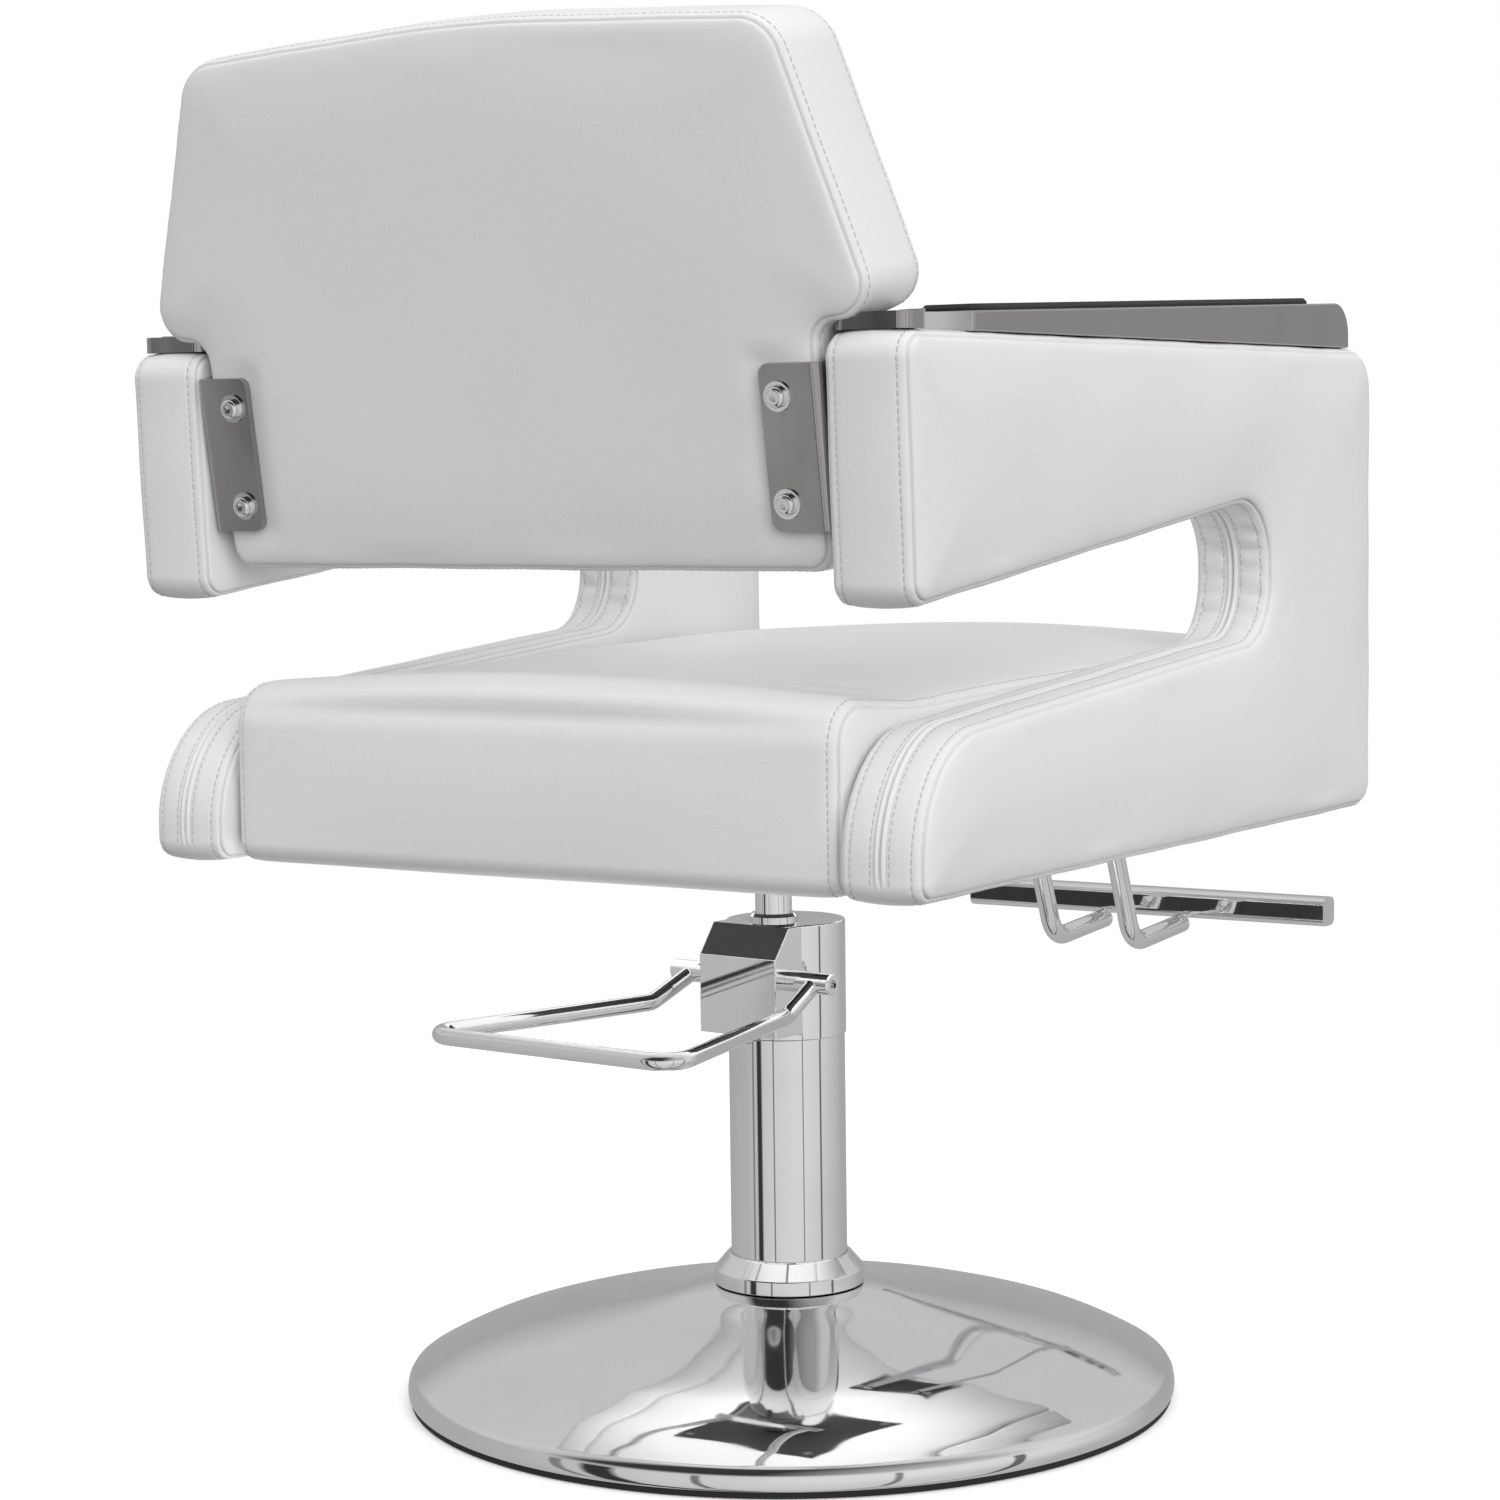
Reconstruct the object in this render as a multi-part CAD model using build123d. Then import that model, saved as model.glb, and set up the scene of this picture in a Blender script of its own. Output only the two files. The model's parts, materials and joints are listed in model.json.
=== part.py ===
"""Hydraulic salon styling chair with long C-shaped padded arms.

Millimetres. +Z is up and the chair faces -Y, so the sitter's right is -X.
The origin is where the seat's swivel axis meets the floor.
Each component is written to its own STEP file, named after its node.
"""

import math
import os

from build123d import *

os.makedirs("parts", exist_ok=True)

# ------------------------------------------------------------------------ base
BASE_X = -7.4                 # column axis, measured from the swivel axis
BASE_Y = -4.6
DOME = [(284.0, 21.5), (270.0, 29.0), (250.0, 38.0), (225.0, 46.0), (200.0, 52.5),
        (150.0, 62.5), (100.0, 72.5), (70.0, 80.0), (45.5, 84.0)]
RIM = [(285.6, 4.6), (287.1, 8.0), (287.1, 13.0), (286.4, 18.0)]
RIM_INSIDE = (282.6, 4.6)
BASE_SHEET = 2.5
TRIM_IN = 262.0               # inside of the rubber ring
TRIM_OUT = 285.2
TRIM_TOP = 4.6
TRIM_WEB = 2.0                # thin rubber sheet that closes the underside
PLATE_R = 240.0
PLATE_Z = 12.0
PLATE_TOP = 20.0
COLLAR_R = 56.5
COLLAR_Z = 84.6
COLLAR_EDGE_Z = 94.0
COLLAR_TOP_Z = 106.0
COLLAR_TOP_R = 45.6
COLUMN_R = 43.5
COLUMN_WALL = 2.0
COLUMN_TOP_Z = 272.0
COLLAR_GAP = 0.2
FOOT_R = 70.0
FOOT_TOP = 28.0
FOOT_BOLT_R = 56.0            # radius of the circle that the foot bolts stand on
FOOT_BOLT_SHANK = 4.2
FOOT_BOLT_HEX = 7.2

# ------------------------------------------------------------------------ pump
PUMP_YAW = -5.3               # the pump is turned a little against the seat
HEAD_R = 44.5
HEAD_Z0 = 272.3
HEAD_TOP_Z = 357.0
HEAD_ROUND = 1.2
BOX_HALF = 35.0               # half width of the box that covers the rocker
BOX_IN = 10.0
BOX_FACE = 60.0               # from the column axis to the box's face
BOX_Z0 = 277.0
BOX_CHAMFER_Z = 335.0
BOX_CHAMFER_IN = 17.0
BOX_WALL = 3.0
HOLLOW_IN = 30.5
ROD_R = 13.7
ROD_BOTTOM_Z = 46.0
ROD_TOP_Z = 419.0
ROD_FLANGE = 2.5
BORE_R = 19.0                 # bore of the pump cylinder
CYLINDER_R = 23.0
CYLINDER_Z0 = 12.0
CYLINDER_CAP = 6.0
CYLINDER_TOP_Z = 318.0
BUSH_WALL = 2.9
WIPER_R = 18.1
WIPER_H = 5.0
RUNNING_FIT = 0.05
PISTON_Z = 50.0
PISTON_H = 18.0
SEAL_Z = 56.0
SEAL_H = 5.0
SEAL_DEPTH = 2.5

# -------------------------------------------------------------- pedal and rocker
SHAFT_OFF = 40.5              # shaft axis, out from the column axis
SHAFT_Z = 318.0
SHAFT_R = 8.0
SHAFT_HALF = 73.0
SHAFT_CHAMFER = 1.2
SOCKET_R = 3.9
SOCKET_DEPTH = 7.0
PEDAL_R = 6.2
PEDAL_BEND = 18.0
PEDAL_PATH = [(57.0, 45.5, 315.5), (62.0, 83.0, 299.5), (113.0, 275.0, 298.0)]
PLUNGER_OFF = 11.5            # plunger axis, out from the shaft axis
PLUNGER_R = 3.0
PLUNGER_Z0 = 280.0
PLUNGER_CAP_Z = 306.0
PLUNGER_CAP_R = 4.9
PLUNGER_CAP_H = 2.0
BARREL_Z0 = 270.0
BARREL_TOP_Z = 292.0
BARREL_PLATE_HALF = 31.5
SPRING_R = 4.1
SPRING_WIRE = 0.55
SPRING_Z0 = 292.9
SPRING_H = 12.2
SPRING_PITCH = 3.2
ROCKER_R = 9.8
ROCKER_HALF = 8.0
LIP_HALF = 5.0

# ------------------------------------------------------------------ seat and arms
SEAT_HALF = 249.0
SEAT_OUTLINE = [(320.0, 421.0, 12.0), (320.0, 553.0, 28.0), (220.0, 547.0, 200.0),
                (-240.0, 556.0, 300.0), (-390.0, 552.0, 42.0), (-390.0, 421.0, 14.0)]
SEAT_EDGE = 10.0
BOARD_HALF = 225.0
BOARD_FRONT = -362.0
BOARD_REAR = 292.0
BOARD_Z0 = 423.0
BOARD_T = 15.0
HUB_Z = 386.0
HUB_R = 23.0
HUB_FLARE_Z = 412.0
HUB_FLARE_R = 30.0
MOUNT_HALF = 115.0
MOUNT_Z0 = 416.0
MOUNT_BOLT = 95.0
BOLT_HEX = 7.0
BOLT_HEAD = 5.0
BOLT_SHANK = 20.0
ARM_IN = 251.0
ARM_OUT = 315.0
ARM_TOP_Z = 778.0
ARM_OUTLINE = [(-395.0, 419.0, 22.0), (-395.0, 778.0, 32.0), (345.0, 778.0, 18.0), (336.0, 605.0, 14.0),
               (-199.0, 666.0, 46.0), (-199.0, 564.0, 44.0), (330.0, 524.5, 84.0), (331.0, 421.0, 14.0)]
CORE_OUTLINE = [(-373.0, 423.0, 8.0), (-373.0, 758.0, 8.0), (322.0, 758.0, 8.0), (316.0, 640.0, 8.0),
                (-221.0, 700.0, 40.0), (-221.0, 540.0, 40.0), (290.0, 502.0, 60.0), (296.0, 423.0, 8.0)]
CORE_OUT = 292.0
CORE_T = 18.0
ARM_EDGE_OUT = 9.0
ARM_EDGE_IN = 6.0
ARM_BOLT_R = 4.0
ARM_BOLT_AT = [(-230.0, 431.0), (60.0, 431.0), (230.0, 431.0)]
ARM_BOLT_OUT = 288.0
ARM_BOLT_IN = 192.0

# ---------------------------------------------------------------------- backrest
BACK_Y = 320.0                # rear panel at the backrest's lower edge
BACK_Z = 626.0
BACK_RAKE = 9.0
BACK_HALF = [(244.0, 0.0, 18.0), (245.0, 157.0, 7.0), (293.0, 160.0, 24.0), (234.0, 349.0, 34.0)]
BACK_TOP = (0.0, 362.0, 900.0)
BACK_DEPTH = 80.0
BACK_EDGE = 6.0
BOARD_HALF_OUTLINE = [(226.0, 0.0, 9.0), (227.0, 173.0, 3.5), (267.0, 177.0, 12.0), (214.0, 329.0, 17.0)]
BOARD_TOP = (0.0, 342.0, 450.0)
BACK_BOARD_W = 14.0
BACK_BOARD_T = 14.0
BRACKET_T = 5.0
BRACKET_IN = 207.0
BRACKET_OUT = 250.5
BRACKET_V0 = 29.0
BRACKET_V1 = 135.0
BRACKET_SIDE = 74.0
BRACKET_BEND = 6.0
BRACKET_CORNER = 7.0
BOLT_X = 220.0
BOLT_V = (46.6, 114.4)
BOLT_R = 3.9
BOLT_HOLE_R = 4.2
WASHER_R = 9.6
WASHER_T = 1.6
BUTTON_R = 7.0
BUTTON_H = 4.8
BUTTON_ROUND = 2.6
KEY_R = 2.9
KEY_DEPTH = 2.8
SCREW_R = 3.1
SCREW_V = (55.0, 108.0)
SCREW_W = 45.0
SCREW_LENGTH = 36.0

# ------------------------------------------------------------------- armrest tops
TRAY_IN = 254.0
TRAY_OUT = 308.0
TRAY_FRONT = -361.0
TRAY_REAR = 249.0
TRAY_REAR_Z = 791.0
TRAY_FRONT_Z = 813.0
TRAY_NOSE = 24.0
TRAY_ROUND = 2.0
TRAY_WALL = 2.5
TRAY_GAP = 0.2                # between the arm's top and the metal on it
STRAP_FRONT = TRAY_REAR + 0.2
STRAP_REAR = 335.0
STRAP_Z = 789.0
STRAP_CORNER = 8.0
PAD_IN = 259.0
PAD_OUT = 303.0
PAD_FRONT = -298.0
PAD_REAR = 237.0
PAD_T = 4.45
PAD_CORNER = 10.0
PAD_CHAMFER = 2.6
CUP_Y = 282.0                 # half-round tool holder, open on the chair's outer side
CUP_R = 32.0
CUP_WALL = 2.2
CUP_TOP_Z = 790.5
BACK_NOTCH_FRONT = 293.0      # front of the notch in the backrest that clears the metal behind the tray

# ----------------------------------------------------------------------- footrest
TUBE_X = 38.0
TUBE_R = 8.2
TUBE_BEND = 28.0
TUBE_PATH = [(-262.0, 408.0), (-478.0, 404.0), (-530.0, 274.0), (-644.0, 281.0)]
BAR_HALF = 172.0
BAR_Y = -640.0
BAR_Z = 297.0
BAR_SIZE = 25.0
BAR_CORNER = 7.0
BAR_WALL = 2.0
CAP_T = 2.5
CAP_PLUG = 10.0
REST_PLATE_HALF = 62.0
REST_PLATE_FRONT = -352.0
REST_PLATE_REAR = -256.0
REST_PLATE_Z = 416.4
REST_PLATE_TOP = 422.8
REST_BOLT_AT = [(-54.0, -340.0), (54.0, -340.0), (-54.0, -268.0), (54.0, -268.0)]

BASE_AT = Pos(BASE_X, BASE_Y, 0)
YAW = Rot(0, 0, PUMP_YAW)
PUMP_AT = BASE_AT * YAW
ROD_IN_PUMP = YAW.inverse() * Pos(-BASE_X, -BASE_Y, 0)
PLUNGER_AT = Pos(0, SHAFT_OFF + PLUNGER_OFF, 0)
THROUGH = 200.0               # longer than anything that a hole passes through


# ------------------------------------------------------------------------ helpers
def save(shape, node):
    """Write one node's solids to its own STEP file."""
    shape.label = node
    export_step(shape, f"parts/{node}.step")


def revolved(points):
    """Revolve a closed (radius, height) outline about the Z axis."""
    face = make_face(Polyline(*[(r, 0, z) for r, z in points], close=True))
    return revolve(face, Axis.Z)


def rod_between(a, b, radius):
    """A round rod from point a to point b."""
    a = Vector(*a)
    b = Vector(*b)
    plane = Plane(origin=a, z_dir=(b - a))
    return extrude(plane * Circle(radius), (b - a).length)


def disc(radius, z0, z1):
    """An upright round solid about the Z axis."""
    return Pos(0, 0, z0) * extrude(Circle(radius), z1 - z0)


def ring(r_out, r_in, z0, z1):
    """A plain ring about the Z axis."""
    return disc(r_out, z0, z1) - disc(r_in, z0 - 1, z1 + 1)


def hexagon(radius, z0, z1):
    """An upright hexagonal solid about the Z axis."""
    return Pos(0, 0, z0) * extrude(RegularPolygon(radius, 6), z1 - z0)


def block(x0, x1, y0, y1, z0, z1):
    """An axis-aligned block between two corners."""
    centre = Pos((x0 + x1) / 2, (y0 + y1) / 2, (z0 + z1) / 2)
    return centre * Box(x1 - x0, y1 - y0, z1 - z0)


def side_extrusion(face, x0, x1):
    """A (y, z) face carried along X from x0 to x1."""
    return Pos(x0, 0, 0) * extrude(Plane.YZ * face, x1 - x0)


def rounded_outline(vertices):
    """A closed planar face through (a, b, radius) vertices, each corner rounded."""
    count = len(vertices)
    pieces = []
    ends = []
    for i, (a, b, radius) in enumerate(vertices):
        here = Vector(a, b)
        back = (Vector(*vertices[i - 1][:2]) - here).normalized()
        ahead = (Vector(*vertices[(i + 1) % count][:2]) - here).normalized()
        half = math.acos(max(-1.0, min(1.0, back.dot(ahead)))) / 2
        reach = radius / math.tan(half)
        inward = (back + ahead).normalized()
        middle = here + inward * (radius / math.sin(half) - radius)
        first = here + back * reach
        last = here + ahead * reach
        pieces.append(ThreePointArc(first, middle, last))
        ends.append((first, last))
    for i in range(count):
        pieces.append(Line(ends[i][1], ends[(i + 1) % count][0]))
    return make_face(pieces)


def symmetrical(half, top):
    """A closed face from the corners of its +x half and its top middle."""
    left = [(-a, b, r) for a, b, r in reversed(half)]
    return rounded_outline(half + [top] + left)


def both_sides(shape, node):
    """Save a sitter's-right part and its mirror image on the left."""
    save(shape, node + "_right")
    save(mirror(shape, about=Plane.YZ), node + "_left")


def bolt_up(x, y, z, radius, shank):
    """A hexagon-headed bolt that points up, its head's underside at z."""
    head_top = z + BOLT_HEAD
    return Pos(x, y, 0) * (hexagon(BOLT_HEX, z, head_top) + disc(radius, head_top, head_top + shank))


# ========================================================================== base
dome_top = Spline(*[(r, 0, z) for r, z in DOME])
dome_under = Spline(*[(r, 0, z - BASE_SHEET) for r, z in [(281.4, DOME[0][1])] + DOME[1:]])
rim_line = Spline(*[(r, 0, z) for r, z in RIM + DOME[:1]])
dome_edges = [dome_top, dome_under, rim_line,
              Line(dome_top @ 1, dome_under @ 1),
              Polyline(rim_line @ 0, (RIM_INSIDE[0], 0, RIM_INSIDE[1]), dome_under @ 0)]
save(BASE_AT * revolve(make_face(dome_edges), Axis.Z), "base_cover")

trim = revolved([(0.0, 0.0), (TRIM_OUT - 1.5, 0.0), (TRIM_OUT, 1.5),
                 (TRIM_OUT, TRIM_TOP), (TRIM_IN, TRIM_TOP), (TRIM_IN, TRIM_WEB), (0.0, TRIM_WEB)])
save(BASE_AT * trim, "base_rubber_trim")

foot_bolt_reach = FOOT_BOLT_R * math.sqrt(0.5)
foot_bolt_at = [(s * foot_bolt_reach, t * foot_bolt_reach) for s in (-1, 1) for t in (-1, 1)]
foot_holes = [Pos(x, y, 0) * Cylinder(FOOT_BOLT_SHANK + 0.3, THROUGH) for x, y in foot_bolt_at]
plate = ring(PLATE_R, COLUMN_R + 0.8, PLATE_Z, PLATE_TOP)
save(BASE_AT * (plate - foot_holes), "base_steel_plate")
foot = ring(FOOT_R, COLUMN_R + 0.3, PLATE_TOP, FOOT_TOP)
save(BASE_AT * (foot - foot_holes), "pump_foot_flange")
foot_bolt = (disc(FOOT_BOLT_SHANK, PLATE_Z - 4.0, FOOT_TOP + 2.0)
             + hexagon(FOOT_BOLT_HEX, FOOT_TOP, FOOT_TOP + 5.0)
             + hexagon(FOOT_BOLT_HEX, PLATE_Z - 6.0, PLATE_Z))
save(Compound(children=[BASE_AT * Pos(x, y, 0) * foot_bolt for x, y in foot_bolt_at]), "pump_foot_bolts")

collar = revolved([(COLUMN_R + COLLAR_GAP, COLLAR_Z), (COLLAR_R, COLLAR_Z - 1.4), (COLLAR_R, COLLAR_EDGE_Z),
                   (COLLAR_TOP_R, COLLAR_TOP_Z), (COLUMN_R + COLLAR_GAP, COLLAR_TOP_Z)])
save(BASE_AT * collar, "base_collar")
save(BASE_AT * ring(COLUMN_R, COLUMN_R - COLUMN_WALL, PLATE_TOP, COLUMN_TOP_Z), "column_tube")

# ========================================================================== pump
cylinder = ring(CYLINDER_R, BORE_R, CYLINDER_Z0, CYLINDER_TOP_Z)
cylinder += disc(CYLINDER_R, CYLINDER_Z0 - CYLINDER_CAP, CYLINDER_Z0)
save(cylinder, "pump_cylinder")

box = block(-BOX_HALF, BOX_HALF, BOX_IN, BOX_FACE, BOX_Z0, HEAD_TOP_Z)
chamfer_start = BOX_FACE - BOX_CHAMFER_IN
wedge = make_face(Polyline((chamfer_start, HEAD_TOP_Z), (BOX_FACE, BOX_CHAMFER_Z), (THROUGH, BOX_CHAMFER_Z),
                           (THROUGH, HEAD_TOP_Z), close=True))
head = disc(HEAD_R, HEAD_Z0, HEAD_TOP_Z) + box - side_extrusion(wedge, -THROUGH, THROUGH)
rounded = [e for e in head.edges() if e.center().Z > HEAD_TOP_Z - 0.1 or e.center().Y > chamfer_start + 1.0]
head = fillet(rounded, HEAD_ROUND)
hollow_side = Polyline((HOLLOW_IN, BOX_Z0 - 1), (BOX_FACE - BOX_WALL, BOX_Z0 - 1),
                       (BOX_FACE - BOX_WALL, BOX_CHAMFER_Z - 1.2), (chamfer_start - 1.6, HEAD_TOP_Z - 5.5),
                       (HOLLOW_IN, HEAD_TOP_Z - 5.5), close=True)
head -= side_extrusion(make_face(hollow_side), BOX_WALL - BOX_HALF, BOX_HALF - BOX_WALL)
head -= ROD_IN_PUMP * disc(CYLINDER_R + 0.2, HEAD_Z0 - 1.0, CYLINDER_TOP_Z + 0.3)
head -= ROD_IN_PUMP * disc(ROD_R + BUSH_WALL + 0.1, HEAD_Z0 - 1.0, HEAD_TOP_Z + 1.0)
head -= rod_between((-100, SHAFT_OFF, SHAFT_Z), (100, SHAFT_OFF, SHAFT_Z), SHAFT_R + RUNNING_FIT)
save(PUMP_AT * head, "pump_head")

save(ring(ROD_R + BUSH_WALL, ROD_R + RUNNING_FIT, CYLINDER_TOP_Z + 1.0, HEAD_TOP_Z), "rod_guide_bush")
wiper_in = ROD_R + RUNNING_FIT
wiper_top = HEAD_TOP_Z + WIPER_H
wiper = revolved([(wiper_in, HEAD_TOP_Z), (WIPER_R, HEAD_TOP_Z), (WIPER_R, HEAD_TOP_Z + WIPER_H / 2),
                  (WIPER_R - 1.9, wiper_top), (wiper_in, wiper_top)])
save(wiper, "rod_wiper_ring")

barrel = PLUNGER_AT * disc(PLUNGER_CAP_R, BARREL_Z0, BARREL_TOP_Z)
barrel += block(-BARREL_PLATE_HALF, BARREL_PLATE_HALF, 31.0, BOX_FACE - 3.2, BOX_Z0, BOX_Z0 + 4.0)
barrel -= PLUNGER_AT * disc(PLUNGER_R + RUNNING_FIT, BARREL_Z0 - 1.0, BARREL_TOP_Z + 1.0)
save(PUMP_AT * barrel, "plunger_barrel")
plunger = disc(PLUNGER_R, PLUNGER_Z0, PLUNGER_CAP_Z)
plunger += disc(PLUNGER_CAP_R, PLUNGER_CAP_Z, PLUNGER_CAP_Z + PLUNGER_CAP_H)
save(PUMP_AT * PLUNGER_AT * plunger, "pump_plunger")
coil = Helix(pitch=SPRING_PITCH, height=SPRING_H, radius=SPRING_R, center=(0, 0, SPRING_Z0))
spring = sweep(Plane(origin=coil @ 0, z_dir=coil % 0) * Circle(SPRING_WIRE), path=coil)
save(PUMP_AT * PLUNGER_AT * spring, "plunger_spring")

# ========================================================================= pedal
shaft = rod_between((-SHAFT_HALF, SHAFT_OFF, SHAFT_Z), (SHAFT_HALF, SHAFT_OFF, SHAFT_Z), SHAFT_R)
shaft = chamfer(shaft.edges().filter_by(GeomType.CIRCLE), SHAFT_CHAMFER)
for side in (-1, 1):
    socket_plane = Plane(origin=(side * SHAFT_HALF, SHAFT_OFF, SHAFT_Z), z_dir=(-side, 0, 0))
    shaft -= extrude(socket_plane * RegularPolygon(SOCKET_R, 6), SOCKET_DEPTH)
save(PUMP_AT * shaft, "pedal_shaft")

far_leg = [(-x, y, z) for x, y, z in PEDAL_PATH]
pedal_line = FilletPolyline(*far_leg, *reversed(PEDAL_PATH), radius=PEDAL_BEND)
pedal = sweep(Plane(origin=pedal_line @ 0, z_dir=pedal_line % 0) * Circle(PEDAL_R), path=pedal_line)
pedal -= rod_between((-90, SHAFT_OFF, SHAFT_Z), (90, SHAFT_OFF, SHAFT_Z), SHAFT_R)
save(PUMP_AT * pedal, "pedal_bar")

rocker = side_extrusion(Pos(SHAFT_OFF, SHAFT_Z) * Circle(ROCKER_R), -ROCKER_HALF, ROCKER_HALF)
rocker += block(-LIP_HALF, LIP_HALF, SHAFT_OFF, SHAFT_OFF + PLUNGER_OFF + 0.5,
                PLUNGER_CAP_Z + PLUNGER_CAP_H + 0.1, SHAFT_Z + 2.0)
rocker -= rod_between((-30, SHAFT_OFF, SHAFT_Z), (30, SHAFT_OFF, SHAFT_Z), SHAFT_R)
save(PUMP_AT * rocker, "pedal_rocker")

# ========================================================================== lift
piston = ring(BORE_R - RUNNING_FIT, ROD_R + RUNNING_FIT, PISTON_Z, PISTON_Z + PISTON_H)
piston -= ring(BORE_R + 1, BORE_R - SEAL_DEPTH, SEAL_Z, SEAL_Z + SEAL_H)
save(piston, "piston_head")
save(ring(BORE_R - 0.1, BORE_R - SEAL_DEPTH, SEAL_Z, SEAL_Z + SEAL_H), "piston_seal")

# ================================================================== seat support
rod = disc(ROD_R, ROD_BOTTOM_Z, ROD_TOP_Z) + disc(ROD_R + ROD_FLANGE, ROD_BOTTOM_Z, PISTON_Z - 0.1)
save(rod, "piston_rod")

hub = revolved([(ROD_R, HUB_Z), (HUB_R, HUB_Z), (HUB_FLARE_R, HUB_FLARE_Z), (HUB_FLARE_R, MOUNT_Z0),
                (ROD_R, MOUNT_Z0)])
mount_plate = block(-MOUNT_HALF, MOUNT_HALF, -MOUNT_HALF, MOUNT_HALF, MOUNT_Z0, BOARD_Z0)
mount_plate -= disc(ROD_R, MOUNT_Z0 - 1.0, BOARD_Z0 + 1.0)
mount_bolt_at = [(s * MOUNT_BOLT, t * MOUNT_BOLT) for s in (-1, 1) for t in (-1, 1)]
mount_bolt_holes = [Pos(x, y, MOUNT_Z0) * Cylinder(4.4, THROUGH) for x, y in mount_bolt_at]
save(hub + mount_plate - mount_bolt_holes, "seat_mount_plate")
mount_bolts = [bolt_up(x, y, MOUNT_Z0 - BOLT_HEAD, 4.2, BOLT_SHANK) for x, y in mount_bolt_at]
save(Compound(children=mount_bolts), "seat_mount_bolts")

# ========================================================================== seat
arm_bolt_cuts = [rod_between((-ARM_BOLT_OUT, y, z), (ARM_BOLT_OUT, y, z), ARM_BOLT_R) for y, z in ARM_BOLT_AT]
cushion = side_extrusion(rounded_outline(SEAT_OUTLINE), -SEAT_HALF, SEAT_HALF)
cushion = fillet([e for e in cushion.edges() if abs(abs(e.center().X) - SEAT_HALF) < 0.1], SEAT_EDGE)
cushion -= block(-BOARD_HALF, BOARD_HALF, BOARD_FRONT, BOARD_REAR, BOARD_Z0 - 13.0, BOARD_Z0 + BOARD_T)
cushion -= arm_bolt_cuts
save(cushion, "seat_cushion")

seat_board = block(-BOARD_HALF, BOARD_HALF, BOARD_FRONT, BOARD_REAR, BOARD_Z0, BOARD_Z0 + BOARD_T)
seat_board -= [Pos(x, y, BOARD_Z0) * Cylinder(4.2, 60) for x, y in mount_bolt_at]
seat_board -= [Pos(x, y, BOARD_Z0) * Cylinder(4.0, 60) for x, y in REST_BOLT_AT]
for side in (-1, 1):
    seat_board -= [rod_between((side * 190, y, z), (side * 290, y, z), ARM_BOLT_R) for y, z in ARM_BOLT_AT]
save(seat_board, "seat_board")

# ======================================================================== brackets
RAKE = Plane(origin=(0, BACK_Y, BACK_Z), x_dir=(1, 0, 0),
             z_dir=(0, -math.cos(math.radians(BACK_RAKE)), math.sin(math.radians(BACK_RAKE))))
# In this plane +x is the sitter's left, +y runs up the back and +z points to the sitter.
bolt_at = [(s * BOLT_X, v) for s in (-1, 1) for v in BOLT_V]


def bracket():
    """One bent stainless plate: a leaf behind the backrest and a leaf beside it."""
    inner = BRACKET_OUT - BRACKET_T
    leaf = make_face(Polyline((BRACKET_IN, -BRACKET_T), (BRACKET_OUT, -BRACKET_T),
                              (BRACKET_OUT, BRACKET_SIDE), (inner, BRACKET_SIDE),
                              (inner, 0.0), (BRACKET_IN, 0.0), close=True))
    plate = Pos(0, BRACKET_V1, 0) * extrude(Plane.XZ * leaf, BRACKET_V1 - BRACKET_V0)
    bend = [e for e in plate.edges().filter_by(Axis.Y)
            if abs(e.center().X - BRACKET_OUT) < 0.1 and abs(e.center().Z + BRACKET_T) < 0.1]
    plate = fillet(bend, BRACKET_BEND)
    corners = [e for e in plate.edges().filter_by(Axis.Z) if abs(e.center().X - BRACKET_IN) < 0.1]
    plate = fillet(corners, BRACKET_CORNER)
    plate -= [Pos(BOLT_X, v, 0) * Cylinder(BOLT_HOLE_R, 40) for v in BOLT_V]
    plate -= [Pos(BRACKET_OUT, v, SCREW_W) * Rot(0, 90, 0) * Cylinder(SCREW_R + 0.1, 30) for v in SCREW_V]
    return plate


save(RAKE * bracket(), "back_bracket_left")
save(RAKE * mirror(bracket(), about=Plane.YZ), "back_bracket_right")

washer = ring(WASHER_R, BOLT_HOLE_R, -BRACKET_T - WASHER_T, -BRACKET_T)
button = disc(BUTTON_R, -BRACKET_T - WASHER_T - BUTTON_H, -BRACKET_T - WASHER_T)
button = fillet(button.edges().group_by(Axis.Z)[0], BUTTON_ROUND)
button -= hexagon(KEY_R, -BRACKET_T - WASHER_T - BUTTON_H, -BRACKET_T - WASHER_T - BUTTON_H + KEY_DEPTH)
button += disc(BOLT_R, -BRACKET_T - WASHER_T, 34.0)
save(Compound(children=[RAKE * Pos(x, v, 0) * washer for x, v in bolt_at]), "bracket_washers")
save(Compound(children=[RAKE * Pos(x, v, 0) * button for x, v in bolt_at]), "bracket_bolts")

screw_start = BRACKET_OUT - BRACKET_T + 0.3
arm_screws = [RAKE * Pos(s * screw_start, v, SCREW_W) * Rot(0, 90 * s, 0) * disc(SCREW_R, 0.0, SCREW_LENGTH)
              for s in (-1, 1) for v in SCREW_V]
save(Compound(children=arm_screws), "bracket_arm_screws")

# ========================================================================== arms
arm = side_extrusion(rounded_outline(ARM_OUTLINE), -ARM_OUT, -ARM_IN)
arm = fillet([e for e in arm.edges() if e.center().X < -ARM_OUT + 0.1], ARM_EDGE_OUT)
arm = fillet([e for e in arm.edges() if e.center().X > -ARM_IN - 0.1], ARM_EDGE_IN)
core = side_extrusion(rounded_outline(CORE_OUTLINE), -CORE_OUT, CORE_T - CORE_OUT)
arm_bolts = [rod_between((-ARM_BOLT_OUT, y, z), (-ARM_BOLT_IN, y, z), ARM_BOLT_R) for y, z in ARM_BOLT_AT]
screw_cuts = [RAKE * Pos(-ARM_IN + 7.0, v, SCREW_W) * Rot(0, -90, 0) * disc(SCREW_R, 0.0, SCREW_LENGTH + 2.0)
              for v in SCREW_V]
arm = arm - core - arm_bolts - screw_cuts
core = core - arm_bolts - screw_cuts
both_sides(arm, "arm_upholstery")
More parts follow.
